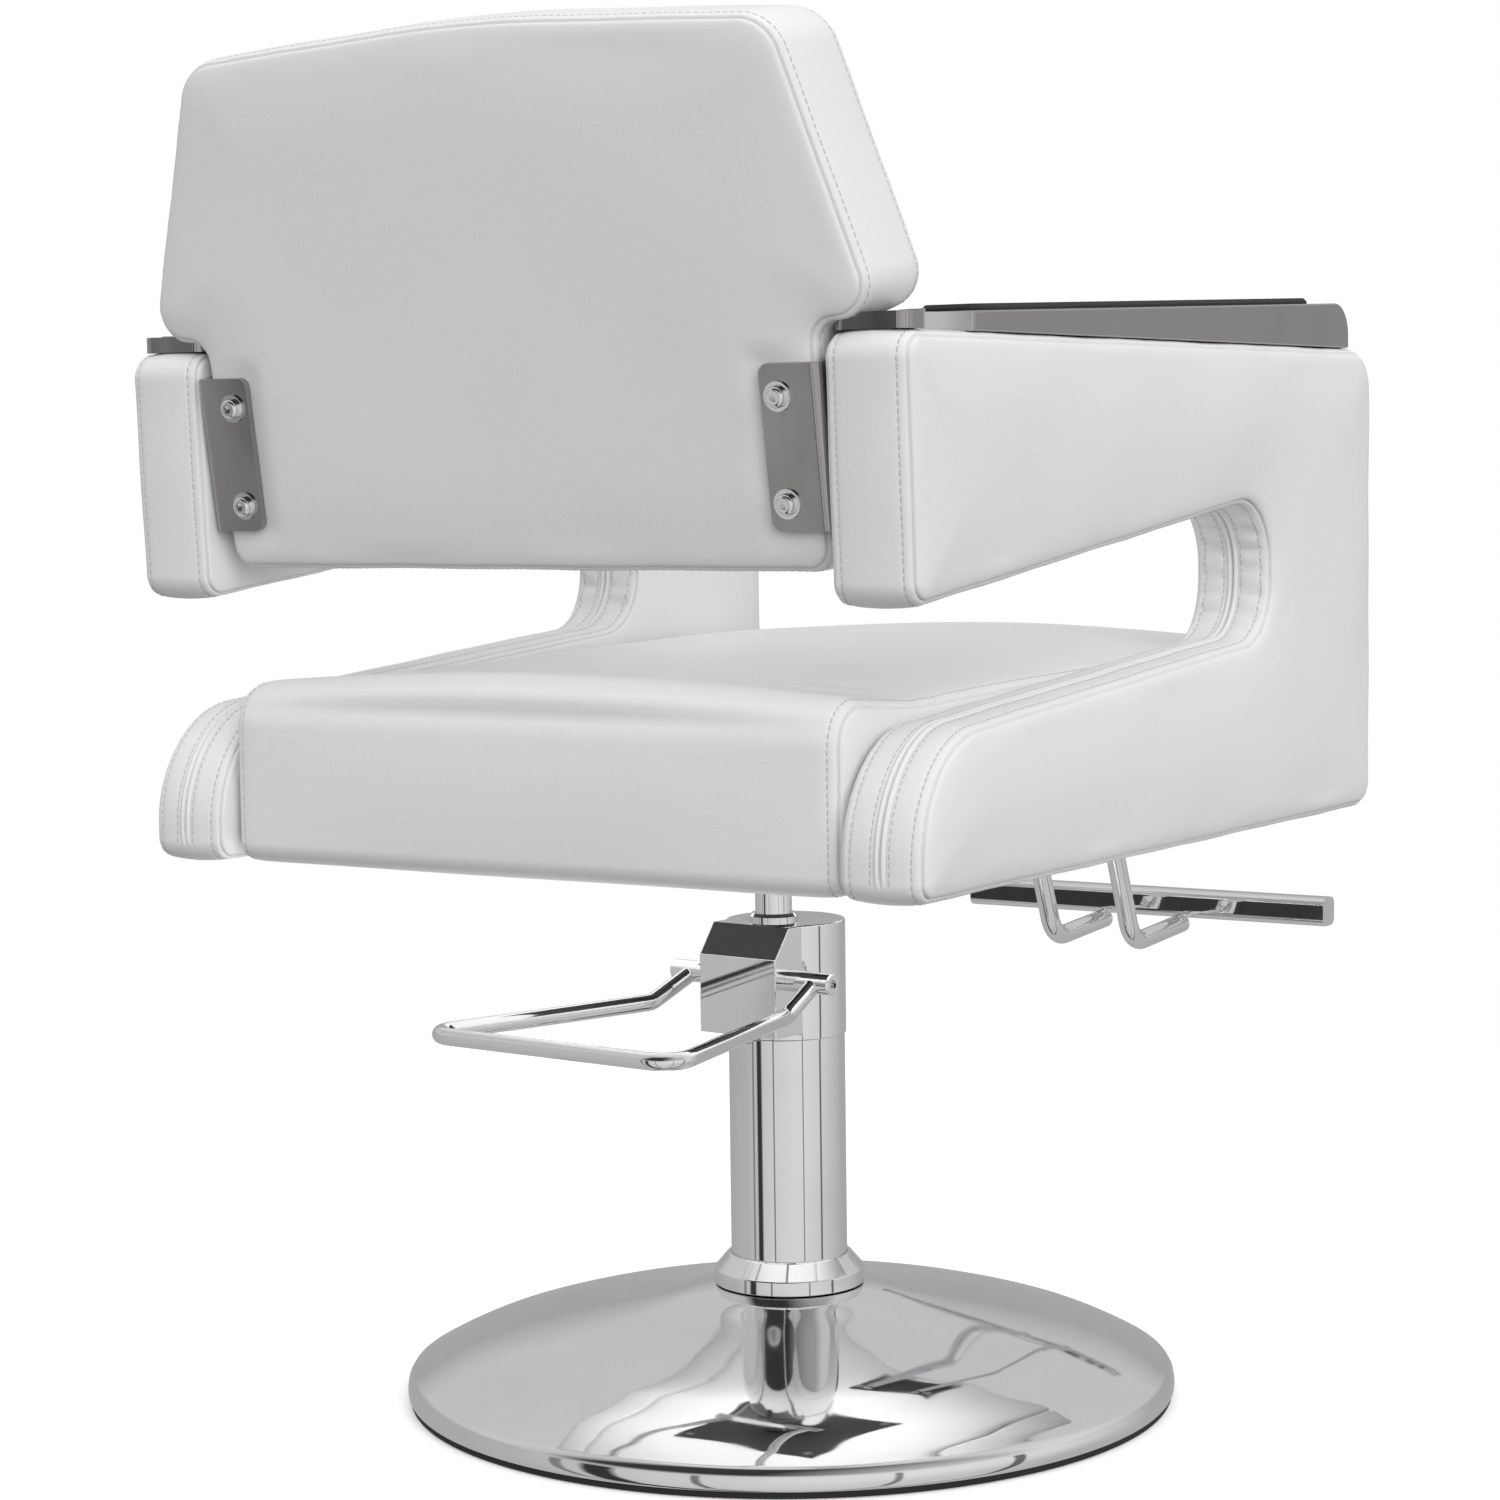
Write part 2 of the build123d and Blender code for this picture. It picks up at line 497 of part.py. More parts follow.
both_sides(core, "arm_core")
both_sides(Compound(children=arm_bolts), "arm_bolts")

# ====================================================================== backrest
back = extrude(symmetrical(BACK_HALF, BACK_TOP), BACK_DEPTH)
back = fillet([e for e in back.edges() if e.center().Z > BACK_DEPTH - 0.1], BACK_EDGE)
back = fillet([e for e in back.edges() if e.center().Z < 0.1], BACK_EDGE)
back_board = Pos(0, 0, BACK_BOARD_W) * extrude(symmetrical(BOARD_HALF_OUTLINE, BOARD_TOP), BACK_BOARD_T)
bolt_cuts = [Pos(x, v, 0) * Cylinder(4.0, 70) for x, v in bolt_at]
back = RAKE * (back - back_board - bolt_cuts)
for side in (-1, 1):
    near, far = sorted((side * (TRAY_IN - 1.0), side * (TRAY_OUT + 1.0)))
    back -= block(near, far, BACK_NOTCH_FRONT, STRAP_REAR + 1.0, ARM_TOP_Z - 1.0, STRAP_Z + 0.4)
save(back, "backrest_cushion")
save(RAKE * (back_board - bolt_cuts), "backrest_board")

# ================================================================== armrest tops
slope = (TRAY_FRONT_Z - TRAY_REAR_Z) / (TRAY_REAR - TRAY_FRONT)
TRAY_Z = ARM_TOP_Z + TRAY_GAP


def tray_outline(wall, bottom, nose):
    """The tray's side view, drawn in by the thickness of its wall."""
    return rounded_outline([(TRAY_REAR - wall, bottom, 0.6), (TRAY_REAR - wall, TRAY_REAR_Z - wall, 1.0),
                            (TRAY_FRONT + wall, TRAY_FRONT_Z - wall, nose), (TRAY_FRONT + wall, bottom, 0.6)])


tray = side_extrusion(tray_outline(0.0, TRAY_Z, TRAY_NOSE), -TRAY_OUT, -TRAY_IN)
tray_rim = [e for e in tray.edges() if e.center().Z > ARM_TOP_Z + 4
            and (e.center().X < -TRAY_OUT + 0.1 or e.center().X > -TRAY_IN - 0.1)]
tray = fillet(tray_rim, TRAY_ROUND)
tray -= side_extrusion(tray_outline(TRAY_WALL, ARM_TOP_Z - 2.0, TRAY_NOSE - TRAY_WALL),
                       TRAY_WALL - TRAY_OUT, -TRAY_IN - TRAY_WALL)
both_sides(tray, "arm_tray")


def tray_top(y):
    """Height of the tray's sloping top."""
    return TRAY_REAR_Z + slope * (TRAY_REAR - y)


pad_plan = rounded_outline([(-PAD_OUT, PAD_FRONT, PAD_CORNER), (-PAD_OUT, PAD_REAR, PAD_CORNER),
                            (-PAD_IN, PAD_REAR, PAD_CORNER), (-PAD_IN, PAD_FRONT, PAD_CORNER)])
pad_side = make_face(Polyline((PAD_FRONT, tray_top(PAD_FRONT) + 0.05), (PAD_REAR, tray_top(PAD_REAR) + 0.05),
                              (PAD_REAR, tray_top(PAD_REAR) + 0.05 + PAD_T),
                              (PAD_FRONT, tray_top(PAD_FRONT) + 0.05 + PAD_T), close=True))
pad = (Pos(0, 0, 700) * extrude(pad_plan, THROUGH)) & side_extrusion(pad_side, -PAD_OUT, -PAD_IN)
pad = chamfer([e for e in pad.edges() if e.center().Z > tray_top(e.center().Y) + 4.0], PAD_CHAMFER)
both_sides(pad, "arm_pad")

cup_at = Pos(-TRAY_OUT, CUP_Y, 0)
outside = block(-TRAY_OUT - THROUGH, -TRAY_OUT, CUP_Y - THROUGH, CUP_Y + THROUGH, TRAY_Z - 1, CUP_TOP_Z + 1)
both_sides(cup_at * ring(CUP_R, CUP_R - CUP_WALL, TRAY_Z, CUP_TOP_Z) - outside, "tool_cup")
strap = block(-TRAY_OUT, -TRAY_IN, STRAP_FRONT, STRAP_REAR, TRAY_Z, STRAP_Z)
strap = fillet([e for e in strap.edges().filter_by(Axis.Z) if e.center().Y > STRAP_REAR - 1], STRAP_CORNER)
strap -= cup_at * disc(CUP_R + 0.1, TRAY_Z - 1.0, STRAP_Z + 1.0)
both_sides(strap, "tray_strap")

# ====================================================================== footrest
half = BAR_SIZE / 2


def bar_face(drawn_in):
    """The footrest bar's rounded square, drawn in by some thickness."""
    reach = half - drawn_in
    return rounded_outline([(BAR_Y + s * reach, BAR_Z + t * reach, BAR_CORNER - drawn_in)
                            for s, t in ((-1, -1), (1, -1), (1, 1), (-1, 1))])


bar_solid = side_extrusion(bar_face(0.0), -BAR_HALF, BAR_HALF)
save(bar_solid - side_extrusion(bar_face(BAR_WALL), -BAR_HALF - 1, BAR_HALF + 1), "footrest_bar")
right_cap = side_extrusion(bar_face(0.0), -BAR_HALF - CAP_T, -BAR_HALF)
right_cap += side_extrusion(bar_face(BAR_WALL), -BAR_HALF, CAP_PLUG - BAR_HALF)
save(Compound(children=[right_cap, mirror(right_cap, about=Plane.YZ)]), "footrest_end_caps")

tube_line = FilletPolyline(*[(-TUBE_X, y, z) for y, z in TUBE_PATH], radius=TUBE_BEND)
tube = sweep(Plane(origin=tube_line @ 0, z_dir=tube_line % 0) * Circle(TUBE_R), path=tube_line)
both_sides(tube - bar_solid, "footrest_tube")

rest_plate = block(-REST_PLATE_HALF, REST_PLATE_HALF, REST_PLATE_FRONT, REST_PLATE_REAR,
                   REST_PLATE_Z, REST_PLATE_TOP)
rest_plate -= [Pos(x, y, REST_PLATE_Z) * Cylinder(4.2, 30) for x, y in REST_BOLT_AT]
save(rest_plate, "footrest_plate")
rest_bolts = [bolt_up(x, y, REST_PLATE_Z - BOLT_HEAD, 4.0, BOLT_SHANK) for x, y in REST_BOLT_AT]
save(Compound(children=rest_bolts), "footrest_bolts")
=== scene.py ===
"""Looks for a salon styling chair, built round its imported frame.

The chair faces -Y and the sitter's right arm is at -X. Sizes in this file are
in millimetres, and become metres when a mesh is made.
"""

import json
import logging
import math
from dataclasses import dataclass, field
from enum import Enum
from typing import Callable, Optional, Sequence

import bpy
import numpy as np
from mathutils import Matrix, Vector
from mathutils.geometry import delaunay_2d_cdt


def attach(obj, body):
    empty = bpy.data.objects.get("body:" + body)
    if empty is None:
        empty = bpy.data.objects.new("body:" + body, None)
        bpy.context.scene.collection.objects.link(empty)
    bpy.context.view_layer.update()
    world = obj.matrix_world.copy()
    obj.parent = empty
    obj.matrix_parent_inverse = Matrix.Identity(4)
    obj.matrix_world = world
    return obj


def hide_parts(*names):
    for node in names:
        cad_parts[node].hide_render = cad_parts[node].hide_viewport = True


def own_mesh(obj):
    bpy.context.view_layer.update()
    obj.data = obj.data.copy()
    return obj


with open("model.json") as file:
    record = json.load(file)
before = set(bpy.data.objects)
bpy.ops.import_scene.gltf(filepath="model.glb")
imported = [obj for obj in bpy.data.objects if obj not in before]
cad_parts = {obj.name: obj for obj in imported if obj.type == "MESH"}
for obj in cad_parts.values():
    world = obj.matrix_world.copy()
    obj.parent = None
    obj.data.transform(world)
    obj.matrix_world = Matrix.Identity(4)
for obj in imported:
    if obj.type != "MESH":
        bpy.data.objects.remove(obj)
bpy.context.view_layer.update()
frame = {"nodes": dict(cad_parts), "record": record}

log = logging.getLogger("styling_chair")
Array = np.ndarray
MM = 0.001
BASE_AXIS = (-7.4, -4.6)          # column axis, measured from the swivel axis
PUMP_YAW = math.radians(-5.3)     # the pump is turned a little against the seat


class Body(Enum):
    """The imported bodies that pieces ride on."""

    BASE = "base"
    PEDAL = "pedal"
    SEAT = "seat"


# ------------------------------------------------------------------ shader maths
def grey(level: float) -> tuple[float, float, float, float]:
    """A grey of one level, with full alpha."""
    return (level, level, level, 1.0)


def tint(colour: Sequence[float], factor: float) -> tuple[float, float, float, float]:
    """A colour made lighter or darker, with full alpha."""
    return tuple(min(1.0, c * factor) for c in colour) + (1.0,)


class Socket:
    """A node's output that takes part in Python arithmetic.

    Each operator adds one Math node, so an expression on sockets builds its own
    small network.
    """

    def __init__(self, kit: "NodeKit", link: bpy.types.NodeSocket) -> None:
        """Wrap one output.

        Args:
            kit: The tree that new nodes are added to.
            link: The output socket to wrap.
        """
        self.kit = kit
        self.link = link

    def _math(self, operation: str, *values: object) -> "Socket":
        """Add a Math node over these values and return its output."""
        return self.kit.add("ShaderNodeMath", {"operation": operation}, dict(enumerate(values)))

    def __add__(self, other: object) -> "Socket":
        """self + other."""
        return self._math("ADD", self, other)

    __radd__ = __add__

    def __sub__(self, other: object) -> "Socket":
        """self - other."""
        return self._math("SUBTRACT", self, other)

    def __rsub__(self, other: object) -> "Socket":
        """other - self."""
        return self._math("SUBTRACT", other, self)

    def __mul__(self, other: object) -> "Socket":
        """self * other."""
        return self._math("MULTIPLY", self, other)

    __rmul__ = __mul__

    def __truediv__(self, other: object) -> "Socket":
        """self / other."""
        return self._math("DIVIDE", self, other)

    def clamped(self) -> "Socket":
        """self held between 0 and 1."""
        return self._math("MINIMUM", self._math("MAXIMUM", self, 0.0), 1.0)

    def ramp(self, low: float, high: float) -> "Socket":
        """0 below low, 1 above high and straight between."""
        return ((self - low) / (high - low)).clamped()


class NodeKit:
    """Adds nodes to one material's or world's tree."""

    def __init__(self, tree: bpy.types.NodeTree) -> None:
        """Clear the tree and keep it.

        Args:
            tree: The node tree to fill.
        """
        self.tree = tree
        tree.nodes.clear()

    def add(self, kind: str, settings: Optional[dict] = None, inputs: Optional[dict] = None,
            output: object = 0) -> Socket:
        """Add one node, set it and feed its sockets.

        Args:
            kind: The node's type name.
            settings: Its own properties, set before its sockets; "stops" fills a ramp.
            inputs: Socket index or name to a number, colour, vector or Socket.
            output: Index or name of the output to return.

        Returns:
            The chosen output, wrapped.
        """
        node = self.tree.nodes.new(kind)
        for key, value in (settings or {}).items():
            if key == "stops":
                self._fill_ramp(node.color_ramp, value)
            else:
                setattr(node, key, value)
        for key, value in (inputs or {}).items():
            if isinstance(value, Socket):
                self.tree.links.new(value.link, node.inputs[key])
            else:
                node.inputs[key].default_value = value
        return Socket(self, node.outputs[output])

    def close(self, kind: str, shader: Socket) -> None:
        """Join the last shader to the tree's output node."""
        end = self.tree.nodes.new(kind)
        self.tree.links.new(shader.link, end.inputs["Surface"])

    @staticmethod
    def _fill_ramp(ramp: bpy.types.ColorRamp, stops: Sequence[tuple]) -> None:
        """Set a ramp's stops from (position, grey level) pairs."""
        while len(ramp.elements) < len(stops):
            ramp.elements.new(1.0)
        for element, (position, tone) in zip(ramp.elements, stops):
            element.position = position
            element.color = grey(tone)

    def blend(self, share: object, first: object, second: object) -> Socket:
        """Mix two colours: the first where share is 0 and the second where it is 1."""
        return self.add("ShaderNodeMix", {"data_type": "RGBA"}, {0: share, 6: first, 7: second}, output=2)

    def dot(self, way: Socket, towards: Sequence[float]) -> Socket:
        """The scalar product of a vector with a fixed direction."""
        return self.add("ShaderNodeVectorMath", {"operation": "DOT_PRODUCT"}, {0: way, 1: towards},
                        output="Value")

    def place(self) -> Socket:
        """Object coordinates, in metres."""
        return self.add("ShaderNodeTexCoord", output="Object")

    def stretched(self, scale: Sequence[float]) -> Socket:
        """Object coordinates scaled by a factor along each axis."""
        return self.add("ShaderNodeMapping", {}, {0: self.place(), 3: scale})

    def noise(self, scale: float, detail: float = 2.0, rough: float = 0.5,
              at: Optional[Socket] = None) -> Socket:
        """Noise in 0 to 1.

        Args:
            scale: Cells in a metre of the coordinates.
            detail: Octaves.
            rough: Share of the finer octaves.
            at: Coordinates; object coordinates if left out.

        Returns:
            The noise value.
        """
        inputs = {"Vector": at or self.place(), "Scale": scale, "Detail": detail, "Roughness": rough}
        return self.add("ShaderNodeTexNoise", {}, inputs)

    def cells(self, scale: float) -> Socket:
        """Distance to the edges of Voronoi cells, so many to a metre of object coordinates."""
        return self.add("ShaderNodeTexVoronoi", {"feature": "DISTANCE_TO_EDGE"},
                        {"Vector": self.place(), "Scale": scale}, output="Distance")

    def varied(self, colour: Socket, gloss: Socket, height: Socket, depth: float, strength: float) -> dict:
        """What a finish varies: its colour, its gloss, and a normal worked out from a height.

        Args:
            colour: Base colour.
            gloss: Roughness.
            height: Height in 0 to 1.
            depth: What a height of 1 stands for, in metres.
            strength: How much of it shows.

        Returns:
            Each shader socket's name with what feeds it.
        """
        normal = self.add("ShaderNodeBump", {}, {"Height": height, "Distance": depth, "Strength": strength})
        return {"Base Color": colour, "Roughness": gloss, "Normal": normal}


@dataclass(frozen=True)
class Finish:
    """What every finish shares: a name, a colour, a gloss and the record's slot."""

    name: str
    slot: str
    colour: tuple[float, float, float]
    roughness: float = 0.5
    metallic: float = 0.0
    sheen: float = 0.0
    specular: float = 0.5

    def surface(self, kit: NodeKit) -> dict:
        """Sockets of the shader that vary over the surface."""
        return {}

    def material(self) -> bpy.types.Material:
        """Make the material once and hand it out again after that.

        Returns:
            The Blender material.
        """
        made = bpy.data.materials.get(self.name)
        if made is not None:
            return made
        made = bpy.data.materials.new(self.name)
        made.use_nodes = True
        made.diffuse_color = (*self.colour, 1.0)
        kit = NodeKit(made.node_tree)
        steady = {"Base Color": (*self.colour, 1.0), "Roughness": self.roughness, "Metallic": self.metallic,
                  "Sheen Weight": self.sheen, "Specular IOR Level": self.specular}
        shader = kit.add("ShaderNodeBsdfPrincipled", {}, {**steady, **self.surface(kit)})
        kit.close("ShaderNodeOutputMaterial", shader)
        return made


@dataclass(frozen=True)
class Vinyl(Finish):
    """Leather-look vinyl: pebbled grain, faint creases, and a slight unevenness of tone and gloss."""

    grain: float = 900.0
    grain_depth: float = 0.00006

    def surface(self, kit: NodeKit) -> dict:
        """Grain from cell edges over fine noise, with broad clouds in tone and gloss."""
        warp = kit.noise(260.0, 2.0)
        cloud = kit.noise(9.0, 3.0)
        pebbles = kit.cells(self.grain)
        fine = kit.noise(2600.0, 2.0, 0.6)
        height = (pebbles * 3.0).clamped() * 0.7 + fine * 0.3 + warp * 0.25
        shade = cloud.ramp(0.35, 0.7)
        colour = kit.blend(shade, tint(self.colour, 0.985), tint(self.colour, 1.012))
        pits = (pebbles * 6.0).clamped()
        colour = kit.blend(pits, tint(self.colour, 0.955), colour)
        gloss = self.roughness + (cloud - 0.5) * 0.12 + (fine - 0.5) * 0.10
        return kit.varied(colour, gloss, height, self.grain_depth, 0.8)


@dataclass(frozen=True)
class Plated(Finish):
    """Mirror plate: almost clean, with faint wipe marks, orange peel and, on sheet metal, a slow warp."""

    wipe: float = 0.05
    peel: float = 0.000012
    warp: float = 0.0

    def surface(self, kit: NodeKit) -> dict:
        """Wipe marks in the gloss, dust in the tone and a slow ripple in the normal."""
        streaks = kit.noise(38.0, 4.0, 0.6, kit.stretched((1.0, 1.0, 0.25)))
        smudge = kit.noise(14.0, 3.0)
        gloss = self.roughness + streaks.ramp(0.45, 0.8) * self.wipe
        gloss = gloss + smudge.ramp(0.5, 0.8) * self.wipe * 0.6
        colour = kit.blend(smudge.ramp(0.4, 0.75), tint(self.colour, 1.0), tint(self.colour, 0.955))
        height = kit.noise(55.0, 1.0)
        if self.warp > 0:
            height = height + kit.noise(11.0, 0.5) * (self.warp / self.peel)
        return kit.varied(colour, gloss, height, self.peel, 0.6)


@dataclass(frozen=True)
class Brushed(Finish):
    """Metal with a brushed or machined lay along one direction."""

    lay: tuple[float, float, float] = (1.0, 0.06, 1.0)
    depth: float = 0.00002

    def surface(self, kit: NodeKit) -> dict:
        """Long thin streaks in tone, gloss and height."""
        lines = kit.noise(1500.0, 3.0, 0.6, kit.stretched(self.lay))
        broad = kit.noise(30.0, 2.0)
        colour = kit.blend(lines, tint(self.colour, 0.86), tint(self.colour, 1.1))
        gloss = self.roughness + (lines - 0.5) * 0.22 + (broad - 0.5) * 0.1
        return kit.varied(colour, gloss, lines, self.depth, 0.7)


@dataclass(frozen=True)
class Moulded(Finish):
    """Rubber, plastic or paint: a fine moulded texture, scuffed a little lighter here and there."""

    texture: float = 1400.0
    depth: float = 0.00004
    scuff: float = 0.25

    def surface(self, kit: NodeKit) -> dict:
        """Fine texture in the height, with scuffs in tone and gloss."""
        fine = kit.noise(self.texture, 3.0, 0.6)
        worn = kit.noise(22.0, 4.0, 0.65).ramp(0.55, 0.8)
        lighter = tuple(c + 0.05 for c in self.colour) + (1.0,)
        colour = kit.blend(worn * self.scuff, tint(self.colour, 1.0), lighter)
        gloss = self.roughness + (fine - 0.5) * 0.15 + worn * 0.08
        return kit.varied(colour, gloss, fine, self.depth, 0.7)


@dataclass(frozen=True)
class Ply(Finish):
    """Bare plywood: long grain with dark pores."""

    pore_depth: float = 0.0001

    def surface(self, kit: NodeKit) -> dict:
        """Grain along Y from stretched noise, darker in its pores."""
        grain = kit.noise(60.0, 4.0, 0.6, kit.stretched((1.0, 0.08, 1.0)))
        pores = kit.noise(900.0, 2.0, 0.6, kit.stretched((1.0, 0.05, 1.0)))
        colour = kit.blend(grain, tint(self.colour, 0.72), tint(self.colour, 1.18))
        colour = kit.blend(pores.ramp(0.55, 0.75) * 0.5, colour, tint(self.colour, 0.55))
        gloss = self.roughness + (grain - 0.5) * 0.2
        return kit.varied(colour, gloss, pores, self.pore_depth, 0.6)


VINYL = Vinyl("white_vinyl", "white_upholstery", (0.83, 0.83, 0.825), roughness=0.42, specular=0.45)
# The thread is white; its grey colour is painted shade standing in for the shadows that make each stitch line
# read as dark dashes.
SHADE_GREY_THREAD = Moulded("white_thread_greyed_as_shade", "white_upholstery", (0.56, 0.56, 0.55), roughness=0.7, texture=5000.0)
CHROME = Plated("mirror_chrome", "bright_chrome", (0.80, 0.80, 0.81), roughness=0.035, metallic=1.0)
STAINLESS = Plated("dark_polished_stainless", "polished_stainless", (0.40, 0.385, 0.38), roughness=0.07,
                   metallic=1.0, wipe=0.08, warp=0.0012)
BRUSHED = Brushed("brushed_stainless", "brushed_stainless", (0.62, 0.62, 0.62), roughness=0.28, metallic=1.0,
                  lay=(0.06, 0.06, 1.0))
RAW_STEEL = Brushed("machined_steel", "raw_steel", (0.42, 0.42, 0.43), roughness=0.38, metallic=1.0,
                    lay=(0.3, 0.3, 1.0))
ZINC = Brushed("zinc_plate", "zinc_fasteners", (0.60, 0.60, 0.58), roughness=0.35, metallic=1.0,
               lay=(1.0, 1.0, 1.0))
BLACK_PAINT = Moulded("black_paint", "black_painted_steel", (0.03, 0.03, 0.03), roughness=0.35)
BRONZE = Brushed("machined_bronze", "bronze_bush", (0.60, 0.45, 0.25), roughness=0.35, metallic=1.0)
RUBBER = Moulded("black_rubber", "black_rubber", (0.02, 0.02, 0.02), roughness=0.65, texture=1800.0)
BLACK_PAD = Moulded("black_pad", "black_pad", (0.018, 0.018, 0.019), roughness=0.42, texture=2200.0)
PLYWOOD = Ply("bare_plywood", "plywood", (0.62, 0.47, 0.31), roughness=0.62)
ALL_FINISHES = (VINYL, CHROME, STAINLESS, BRUSHED, RAW_STEEL, ZINC, BLACK_PAINT, BRONZE, RUBBER, BLACK_PAD,
                PLYWOOD)
FINISHES = {finish.slot: finish for finish in ALL_FINISHES}


# ---------------------------------------------------------------------- surfaces
def grid_quads(rows: int, cols: int, wrap_rows: bool = False, wrap_cols: bool = False) -> Array:
    """Quads that join each vertex of a grid to its neighbours in the next row and column.

    Args:
        rows: Rows of vertices.
        cols: Columns of vertices.
        wrap_rows: Join the last row to the first.
        wrap_cols: Join the last column to the first.

    Returns:
        Vertex numbers, four to a face.
    """
    row, col = np.meshgrid(np.arange(rows if wrap_rows else rows - 1),
                           np.arange(cols if wrap_cols else cols - 1), indexing="ij")
    below, right = (row + 1) % rows, (col + 1) % cols
    corners = [row * cols + col, below * cols + col, below * cols + right, row * cols + right]
    return np.stack(corners, axis=-1).reshape(-1, 4)


def six_volumes(points: Array, tris: Array, about: object = 0.0) -> float:
    """Six times the volume between triangles and a point, above 0 where they look away from it."""
    a, b, c = np.moveaxis(points[tris] - about, 1, 0)
    return float(np.einsum("ij,ij->i", a, np.cross(b, c)).sum())


@dataclass
class Surface:
    """Vertices in millimetres with their quads and triangles."""

    points: Array
    quads: Array = field(default_factory=lambda: np.zeros((0, 4), int))
    tris: Array = field(default_factory=lambda: np.zeros((0, 3), int))

    def triangles(self) -> Array:
        """Every face as triangles."""
        halves = [self.quads[:, [0, 1, 2]], self.quads[:, [0, 2, 3]], self.tris]
        return np.concatenate(halves)

    def turned_over(self) -> "Surface":
        """The same surface with its faces looking the other way."""
        return Surface(self.points, self.quads[:, ::-1], self.tris[:, ::-1])

    def outward(self) -> "Surface":
        """A closed surface with its faces looking out, judged by the sign of its volume."""
        return self if six_volumes(self.points, self.triangles()) > 0 else self.turned_over()

    def mirrored(self) -> "Surface":
        """The mirror image across the chair's middle, with its faces still looking out."""
        return Surface(self.points * (-1, 1, 1), self.quads, self.tris).turned_over()

    def moved(self, matrix: Array, offset: Sequence[float]) -> "Surface":
        """Each point multiplied by a matrix and shifted."""
        return Surface(self.points @ np.asarray(matrix).T + np.asarray(offset), self.quads, self.tris)

    def made(self, name: str, finish: Finish, body: Body, replaces: Sequence[str] = ()) -> bpy.types.Object:
        """Make the Blender object, dress it and let it ride on its body.

        Args:
            name: The piece's name.
            finish: Its finish.
            body: The body it rides on.
            replaces: CAD nodes that it stands for.

        Returns:
            The new object.
        """
        mesh = bpy.data.meshes.new(name)
        corners = np.concatenate([self.quads.ravel(), self.tris.ravel()]).astype(np.int32)
        sizes = np.concatenate([np.full(len(self.quads), 4), np.full(len(self.tris), 3)])
        starts = np.concatenate([[0], np.cumsum(sizes)[:-1]]).astype(np.int32)
        mesh.vertices.add(len(self.points))
        mesh.vertices.foreach_set("co", (self.points * MM).astype(np.float32).ravel())
        mesh.loops.add(len(corners))
        mesh.loops.foreach_set("vertex_index", corners)
        mesh.polygons.add(len(sizes))
        mesh.polygons.foreach_set("loop_start", starts)
        mesh.polygons.foreach_set("use_smooth", np.full(len(sizes), True))
        mesh.update(calc_edges=True)
        mesh.validate()
        mesh.materials.append(finish.material())
        made = bpy.data.objects.new(name, mesh)
        bpy.context.scene.collection.objects.link(made)
        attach(made, body.value)
        if replaces:
            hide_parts(*replaces)
        return made


def joined(parts: Sequence[Surface]) -> Surface:
    """Several surfaces as one, their vertex numbers shifted in turn."""
    starts = np.cumsum([0] + [len(part.points) for part in parts[:-1]])
    return Surface(np.concatenate([part.points for part in parts]),
                   np.concatenate([part.quads + start for part, start in zip(parts, starts)]),
                   np.concatenate([part.tris + start for part, start in zip(parts, starts)]))


def smooth_through(points: Sequence[tuple[float, float]], per_span: int = 8) -> Array:
    """A curve through the points: each span is a cubic whose end slopes are half the chord past that end.

    Args:
        points: Points of the curve.
        per_span: Steps on each span.

    Returns:
        Points along the curve.
    """
    knots = np.asarray(points, float)
    padded = np.vstack([2 * knots[0] - knots[1], knots, 2 * knots[-1] - knots[-2]])
    before, start, end, after = padded[:-3], padded[1:-2], padded[2:-1], padded[3:]
    t = np.linspace(0, 1, per_span, endpoint=False)[None, :, None]
    before, start, end, after = (part[:, None, :] for part in (before, start, end, after))
    curve = 0.5 * (2 * start + (end - before) * t + (2 * before - 5 * start + 4 * end - after) * t ** 2
                   + (3 * start - before - 3 * end + after) * t ** 3)
    return np.vstack([curve.reshape(-1, knots.shape[1]), knots[-1:]])


def lathe(profile: Array, centre: tuple[float, float] = (0.0, 0.0), steps: int = 192,
          closed: bool = True) -> Surface:
    """A (radius, height) outline turned about an upright axis: x = r cos a, y = r sin a, z = h.

    Args:
        profile: The outline's points.
        centre: Where the axis stands.
        steps: Steps round the axis.
        closed: Whether the outline's last point joins its first.

    Returns:
        The turned surface, its faces looking out.
    """
    angle = np.linspace(0, 2 * math.pi, steps, endpoint=False)
    radius, height = np.asarray(profile, float).T
    points = np.stack([centre[0] + np.outer(radius, np.cos(angle)),
                       centre[1] + np.outer(radius, np.sin(angle)),
                       np.repeat(height[:, None], steps, axis=1)], axis=-1)
    return Surface(points.reshape(-1, 3), grid_quads(len(radius), steps, closed, True)).outward()


PATH_STEP = 3.0         # spacing of the points along a bent tube
ARC_STEP = 1.5          # spacing of the points that its arcs are worked out from


